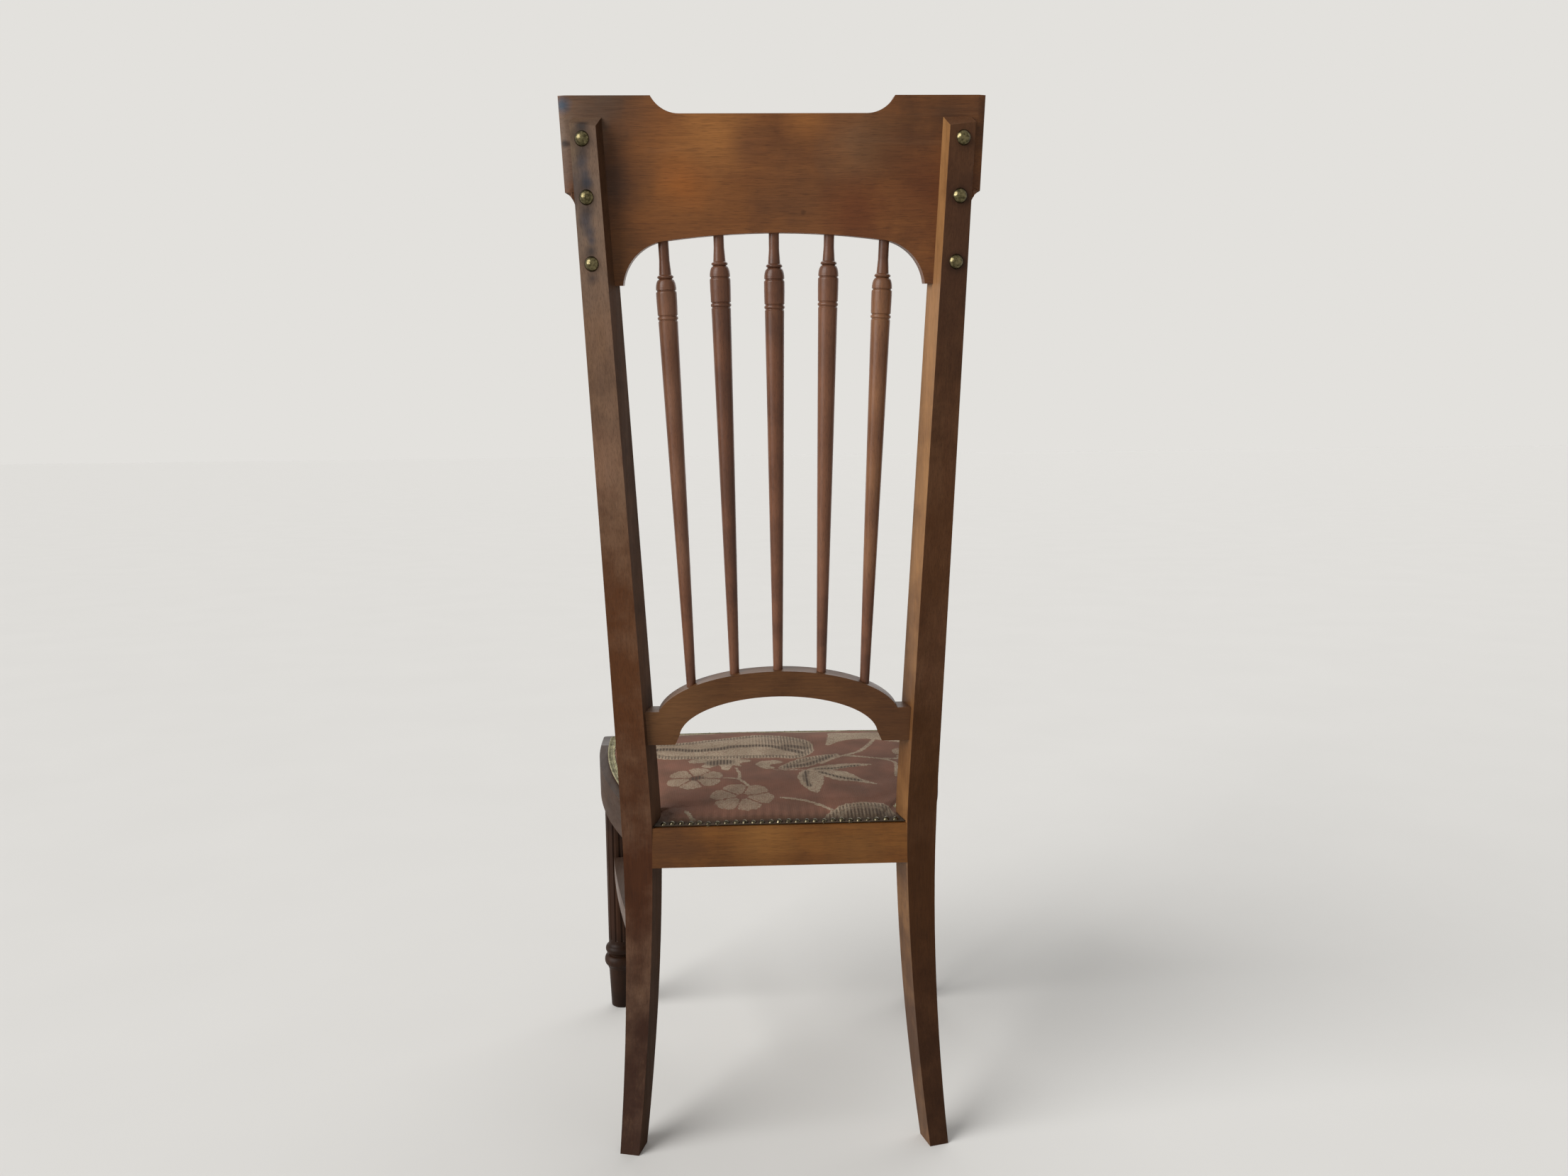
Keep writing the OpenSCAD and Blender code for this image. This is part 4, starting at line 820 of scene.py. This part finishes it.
leaf([(190, 392), (160, 380), (120, 390), (90, 410), (130, 421), (175, 415)])
leaf([(-20, 395), (-60, 388), (-95, 398), (-120, 420), (-70, 424), (-35, 412)])
print("flowers and leaves cover", round(float((motif > 0).mean()) * 100), "% of the seat")

# %% Stems and dark threads
stem([(75, 149), (55, 142), (40, 114)], 4.5)
stem([(54, 143), (53, 165), (58, 192)], 4.5)
stem([(2, 181), (-30, 178), (-60, 176)], 3)
stem([(-70, 205), (-96, 235), (-130, 260), (-151, 300), (-167, 342)], 6)
stem([(-95, 243), (-140, 236), (-168, 231), (-183, 215), (-177, 164)], 5.5)
stem([(-168, 234), (-195, 241), (-218, 250)], 5)
stem([(-5, 70), (-40, 59), (-66, 38), (-76, 26)], 5.5)
stem([(113, 8), (120, 22), (127, 36)], 6)
dark_line([(196, 297), (165, 296), (125, 281), (85, 285), (60, 298), (10, 301), (-30, 272), (-43, 258)], 8)
dark_line([(-20, 298), (-35, 292), (-50, 285)], 10)
dark_line([(92, 218), (82, 222), (72, 222)], 15)
dark_line([(-100, 22), (-115, 26), (-138, 22)], 15)
dark_line([(118, 150), (112, 152)], 9)
dark_line([(-20, 193), (-52, 205), (-84, 236)], 6)
dark_line([(-46, 110), (-42, 140), (-46, 170)], 4.5)
dark_line([(-120, 132), (-92, 142), (-66, 166)], 4.5)
dark_line([(-60, 180), (-90, 183), (-125, 196)], 4)
print("woven shapes cover", round(float((motif > 0).mean()) * 100), "% of the seat")

# %% Lighter hatching in the big leaf, dirt at the back, and the attribute
hatch_area = np.exp(-((a_mm + 12) / 45) ** 2 - ((f_mm - 325) / 30) ** 2)
stitches = np.maximum(stitches, hatch_area)
edge_mm = (side_room.ravel() - MARGIN) / MM
dirt = np.exp(-(f_mm - 14).clip(0) / 9) * 0.9 + np.exp(-edge_mm.clip(0) / 9) * 0.45
corner = np.hypot(np.abs(a_mm) - 158, f_mm - 14)
dirt = np.maximum(dirt, 0.85 * np.exp(-corner / 28))
sheet_colour = cover.data.color_attributes.new(name="weave", type="FLOAT_COLOR", domain="POINT")
values = np.stack([(motif / 1.6 + 0.5).clip(0, 1), dark, dirt.clip(0, 1), 1 - 0.42 * rosy], axis=1)
sheet_colour.data.foreach_set("color", values.ravel())
ladders = cover.data.attributes.new(name="stitches", type="FLOAT", domain="POINT")
ladders.data.foreach_set("value", stitches)
print("cloth attributes written for", len(values), "points")

# %% [markdown]
# ## Tapestry
#
# A wool and cotton tapestry is matt, with a high roughness. Its threads are about 0.8 mm apart; they
# are drawn 1.6 mm apart across and 2.1 mm forwards, so that the rib shows. Cream threads lie higher
# than the ground, and where they are thinly woven the ground shows between them.

# %% Tapestry material
def thread_waves(tree, place, axis, spacing):
    """Waves from 0 to 1 along an axis, one for each thread."""
    part = add_node(tree, "ShaderNodeSeparateXYZ", {"Vector": place}).outputs[axis]
    angle = add_node(tree, "ShaderNodeMath", [part, 2 * math.pi / spacing], operation="MULTIPLY")
    wave = add_node(tree, "ShaderNodeMath", [angle], operation="SINE")
    return add_node(tree, "ShaderNodeMapRange", [wave, -1, 1])


tapestry, tree, shader, place = new_material("wool_tapestry")
read = add_node(tree, "ShaderNodeAttribute", attribute_name="weave").outputs
parts = add_node(tree, "ShaderNodeSeparateColor", {"Color": read["Color"]}).outputs
fuzz = add_node(tree, "ShaderNodeTexNoise", {"Vector": place, "Scale": 420, "Detail": 3})
cloud = add_node(tree, "ShaderNodeTexNoise", {"Vector": place, "Scale": 22, "Detail": 4})
frayed = add_node(tree, "ShaderNodeMath", [fuzz, 0.5, parts[0]], operation="MULTIPLY_ADD")
woven = add_node(tree, "ShaderNodeMapRange", [frayed, 0.62, 0.9])
ground = lay_over(tree, "#5f4030", "#774f3d", cloud, 0.35, 0.65)
cream = lay_over(tree, "#8b7b65", "#a5957d", cloud, 0.35, 0.65)
thinned = add_node(tree, "ShaderNodeMath", [woven, read["Alpha"]], operation="MULTIPLY")
colour = lay_over(tree, ground, cream, thinned)
# Bare ground threads speckle the cream ones
colour = lay_over(tree, colour, ground, fuzz, 0.52, 0.38, 0.65)
# Dark lines are beaded, and ladders are made of short dark stitches 5 mm apart
stripes = add_node(tree, "ShaderNodeMapRange", [thread_waves(tree, place, "X", 0.005), 0.35, 0.65])
beads = add_node(tree, "ShaderNodeMapRange", [stripes, 0, 1, 0.5, 1])
line = add_node(tree, "ShaderNodeMath", [parts[1], beads], operation="MULTIPLY")
rungs = add_node(tree, "ShaderNodeAttribute", attribute_name="stitches").outputs["Fac"]
for factor in (stripes, 0.75):
    rungs = add_node(tree, "ShaderNodeMath", [rungs, factor], operation="MULTIPLY")
stitched = add_node(tree, "ShaderNodeMath", [line, rungs], operation="MAXIMUM")
colour = lay_over(tree, colour, "#382d21", stitched)
# Painted shade darkens the gaps between the threads, and dirt lies over everything
threads = [thread_waves(tree, place, "X", 0.0016), thread_waves(tree, place, "Y", 0.0021)]
rib = add_node(tree, "ShaderNodeMath", threads, operation="MULTIPLY")
colour = lay_over(tree, colour, "#4a352b", rib, 0.6, 0, 0.34)
colour = lay_over(tree, colour, "#352a1f", parts[2])
raised = add_node(tree, "ShaderNodeMath", [woven, 0.8, rib], operation="MULTIPLY_ADD")
bump = add_node(tree, "ShaderNodeBump", {"Height": raised, "Strength": 0.5, "Distance": 0.0006})
feed(shader, {"Base Color": colour, "Normal": bump, "Roughness": 0.92, "Specular IOR Level": 0.25})
print("material", tapestry.name, "with", len(tree.nodes), "nodes")

# %% Finish the cover
cover.data.materials.append(tapestry)
thick = cover.modifiers.new("cloth thickness", "SOLIDIFY")
thick.thickness = 0.0009
thick.offset = -1
apply_all(cover)
select_only(cover)
bpy.ops.object.shade_smooth()
finish_piece(cover, "seat_cover")
print("cover faces", len(cover.data.polygons))

# %% [markdown]
# ## Uneven nail heads
#
# The pressed heads stand up almost like balls, and a hammer never sets two of them alike. In a copy
# of the CAD nails, everything above the cloth is drawn up, and each nail is moved by a fraction of a
# millimetre. The nails are 12 mm apart, so a point's place along the row tells which nail it is in.

# %% Raise the nail heads
HEAD_HEIGHT = 3.0
HEAD_STRETCH = 1.6
NAIL_PITCH = 0.012
HAIR = 0.0001
nails = merged_copy("rear_nails", "domed_nails")
astray = np.random.default_rng(27).normal(0, 0.0005, (40, 3))
for vertex in nails.data.vertices:
    rise = (vertex.co - seat_point(0, 0, 0)).dot(seat_up)
    if rise > CLOTH - HAIR:
        which = round(vertex.co.x / NAIL_PITCH)
        vertex.co += seat_up * (rise - CLOTH) * (HEAD_STRETCH - 1) + Vector(astray[which])
finish_piece(nails, "rear_nails")
print("nail heads stand", round(HEAD_HEIGHT * HEAD_STRETCH, 1), "mm high")

# %% [markdown]
# ## What the cover hides
#
# Under the cover lie a horsehair and wadding pad, a hessian cloth and jute webbing. The webbing shows
# from below. Jute is a coarse, hairy fibre: its threads are 1.6 mm apart in hessian and 2.2 mm in
# webbing, and its colour wanders between straw and brown. The pad has no weave, only tufts, 4 mm apart.

# %% Jute, hessian and wadding
def jute_cloth(name, light, shade, spacing):
    material, tree, shader, place = new_material(name)
    fibres = add_node(tree, "ShaderNodeTexNoise", {"Vector": place, "Scale": 300, "Detail": 4})
    threads = [thread_waves(tree, place, axis, spacing) for axis in "XY"]
    rib = add_node(tree, "ShaderNodeMath", threads, operation="MULTIPLY")
    colour = lay_over(tree, shade, light, fibres, 0.35, 0.65)
    # Painted shade darkens the gaps between the threads
    colour = lay_over(tree, colour, "#4b3a22", rib, 0.5, 0, 0.5)
    raised = add_node(tree, "ShaderNodeMath", [rib, fibres], operation="ADD")
    bump = add_node(tree, "ShaderNodeBump", {"Height": raised, "Strength": 0.6, "Distance": 0.0006})
    feed(shader, {"Base Color": colour, "Normal": bump, "Roughness": 0.95})
    return material


webbing = jute_cloth("jute_webbing", "#b39a6a", "#8c7248", 0.0022)
hessian = jute_cloth("hessian_cloth", "#a58c5f", "#846b45", 0.0016)
wadding = jute_cloth("horsehair_wadding", "#8f8068", "#6b5d4a", 0.004)
dress("webbing_straps", webbing)
dress("hessian_base", hessian)
pad.data.materials.append(wadding)
select_only(pad)
bpy.ops.object.shade_smooth()
finish_piece(pad, "seat_padding")
print("jute finishes", webbing.name, hessian.name, wadding.name)

# %% [markdown]
# ## Galloon braid
#
# A galloon hides the cover's raw edge: a narrow braid of small loops between two cords, glued along
# the sides and the front. One loop is a torus of few faces. It is copied along both rows, every copy
# turned to follow the seat's edge, and all are joined. The cords are curves turned into meshes.

# %% The line that the braid follows
BRAID_BACK = 0.0565


def border_line(margin, step=0.001):
    """Evenly spaced places along the left side, the front and the right side."""
    room = SEAT_HALF - margin
    stops = np.arange(BRAID_BACK, SEAT_DEPTH - margin, step)
    left = [(SEAT_MIDDLE + side_reach(f, margin), f) for f in stops]
    front = [(x, front_reach(x, margin)) for x in SEAT_MIDDLE + np.arange(room, -room, -step)]
    right = [(2 * SEAT_MIDDLE - x, f) for x, f in reversed(left)]
    line = np.array(left + front + right)
    for _ in range(20):
        line[1:-1] = (line[:-2] + line[2:]) / 2
    return line


def spaced(line, pitch):
    lengths = np.concatenate([[0], np.cumsum(np.linalg.norm(np.diff(line, axis=0), axis=1))])
    stops = np.arange(pitch / 2, lengths[-1], pitch)
    return np.stack([np.interp(stops, lengths, line[:, k]) for k in (0, 1)], axis=1)


middle_line = border_line(0.019)
print("braid runs", round(float(np.linalg.norm(np.diff(middle_line, axis=0), axis=1).sum()), 3), "m")

# %% Loops and cords
def cord_piece(name, places, radius, height):
    curve = bpy.data.curves.new(name, "CURVE")
    curve.dimensions = "3D"
    curve.bevel_depth = radius
    curve.bevel_resolution = 1
    curve.use_fill_caps = True
    spline = curve.splines.new("POLY")
    spline.points.add(len(places) - 1)
    for point, (across, forwards) in zip(spline.points, places):
        point.co = (*seat_point(across, forwards, height), 1)
    thing = bpy.data.objects.new(name, curve)
    bpy.context.collection.objects.link(thing)
    select_only(thing)
    bpy.ops.object.convert(target="MESH")
    return bpy.context.object


bpy.ops.object.select_all(action="DESELECT")
bpy.ops.mesh.primitive_torus_add(major_segments=9, minor_segments=4,
                                 major_radius=0.0024, minor_radius=0.0007)
loop = bpy.context.object
tilt = Matrix.Rotation(-SLOPE, 4, "X")
braid_parts = []
for margin, lean in ((0.0165, 0.35), (0.0215, -0.35)):
    places = spaced(border_line(margin), 0.0033)
    for k, (across, forwards) in enumerate(places):
        ahead = places[min(k + 1, len(places) - 1)] - places[max(k - 1, 0)]
        turn = math.atan2(-ahead[1], ahead[0])
        copy = bpy.data.objects.new("loop", loop.data.copy())
        wobble = rng.normal(0, 0.0002, 2)
        shape = (Matrix.Translation(seat_point(across + wobble[0], forwards + wobble[1], 0.0026)) @ tilt
                 @ Matrix.Rotation(turn, 4, "Z") @ Matrix.Rotation(lean + rng.normal(0, 0.12), 4, "X")
                 @ Matrix.Diagonal((1.0, 1.15, 1.0, 1.0)))
        copy.data.transform(shape)
        bpy.context.collection.objects.link(copy)
        braid_parts.append(copy)
bpy.data.objects.remove(loop)
for margin in (0.0142, 0.019, 0.0238):
    places = spaced(border_line(margin), 0.003)
    braid_parts.append(cord_piece("braid_cord", places, 0.0007, 0.0024))
print("braid parts", len(braid_parts))

# %% Braid material and joining
braid_thread, tree, shader, place = new_material("cotton_braid_thread")
fuzz = add_node(tree, "ShaderNodeTexNoise", {"Vector": place, "Scale": 1500, "Detail": 2})
age = add_node(tree, "ShaderNodeTexNoise", {"Vector": place, "Scale": 60, "Detail": 5, "Roughness": 0.7})
colour = lay_over(tree, "#6f6a4c", "#a6a07c", age, 0.36, 0.62)
colour = lay_over(tree, colour, "#4f4a34", fuzz, 0.55, 0.35, 0.5)
bump = add_node(tree, "ShaderNodeBump", {"Height": fuzz, "Strength": 0.5, "Distance": 0.0004})
feed(shader, {"Base Color": colour, "Normal": bump, "Roughness": 0.9, "Sheen Weight": 0.1})
select_only(*braid_parts)
bpy.context.view_layer.objects.active = braid_parts[-1]
bpy.ops.object.join()
braid = bpy.context.object
braid.name = "looped_galloon_braid"
braid.data.materials.clear()
braid.data.materials.append(braid_thread)
bpy.ops.object.shade_smooth()
finish_piece(braid, "galloon_braid")
print("braid faces", len(braid.data.polygons))

# %% [markdown]
# ## Floor, background and light
#
# The floor is a plain pale sheet, far wider than the chair. Only the camera and mirrors see the pale
# background: Light Path tells them from the light that falls on the chair. A broad, soft sun comes
# from the sitter's left and a little from behind the chair, and a weak one lights the front. A sun
# does not fade with distance, so the floor stays evenly pale.

# %% Floor and background
bpy.ops.object.select_all(action="DESELECT")
bpy.ops.mesh.primitive_plane_add(size=120, location=(0, 0, 0))
floor = bpy.context.object
floor.name = "pale_floor"
floor_paint, tree, shader, place = new_material("pale_floor_paint")
cloud = add_node(tree, "ShaderNodeTexNoise", {"Vector": place, "Scale": 3, "Detail": 3})
colour = lay_over(tree, "#d6d4d0", "#dad8d4", cloud)
feed(shader, {"Base Color": colour, "Roughness": 0.9, "Specular IOR Level": 0.1})
floor.data.materials.append(floor_paint)

world = bpy.data.worlds.new("studio")
bpy.context.scene.world = world
world.use_nodes = True
tree = world.node_tree
tree.nodes.clear()
path = add_node(tree, "ShaderNodeLightPath").outputs
seen = path["Is Camera Ray"]
for kind in ("Is Glossy Ray", "Is Transmission Ray"):
    seen = add_node(tree, "ShaderNodeMath", [seen, path[kind]], operation="MAXIMUM")
glow = add_node(tree, "ShaderNodeBackground", {"Color": "#ffffff", "Strength": 0.33})
backdrop = add_node(tree, "ShaderNodeBackground", {"Color": "#e3e1dd", "Strength": 1.0})
either = add_node(tree, "ShaderNodeMixShader", [seen, glow, backdrop])
add_node(tree, "ShaderNodeOutputWorld", {"Surface": either})
bpy.context.scene.view_settings.view_transform = "Standard"
print("floor and background ready")

# %% Lamps
def soft_sun(name, towards, strength, spread):
    """A sun that shines along a direction; the spread in degrees softens its shadows."""
    lamp = bpy.data.lights.new(name, "SUN")
    lamp.energy = strength
    lamp.angle = math.radians(spread)
    thing = bpy.data.objects.new(name, lamp)
    bpy.context.collection.objects.link(thing)
    thing.rotation_euler = Vector(towards).to_track_quat("-Z", "Y").to_euler()


soft_sun("window_side", (-1.06, -0.6, -0.5), 4.2, 50)
soft_sun("room_side", (0.25, 0.9, -0.55), 1.3, 70)
print("two lamps")
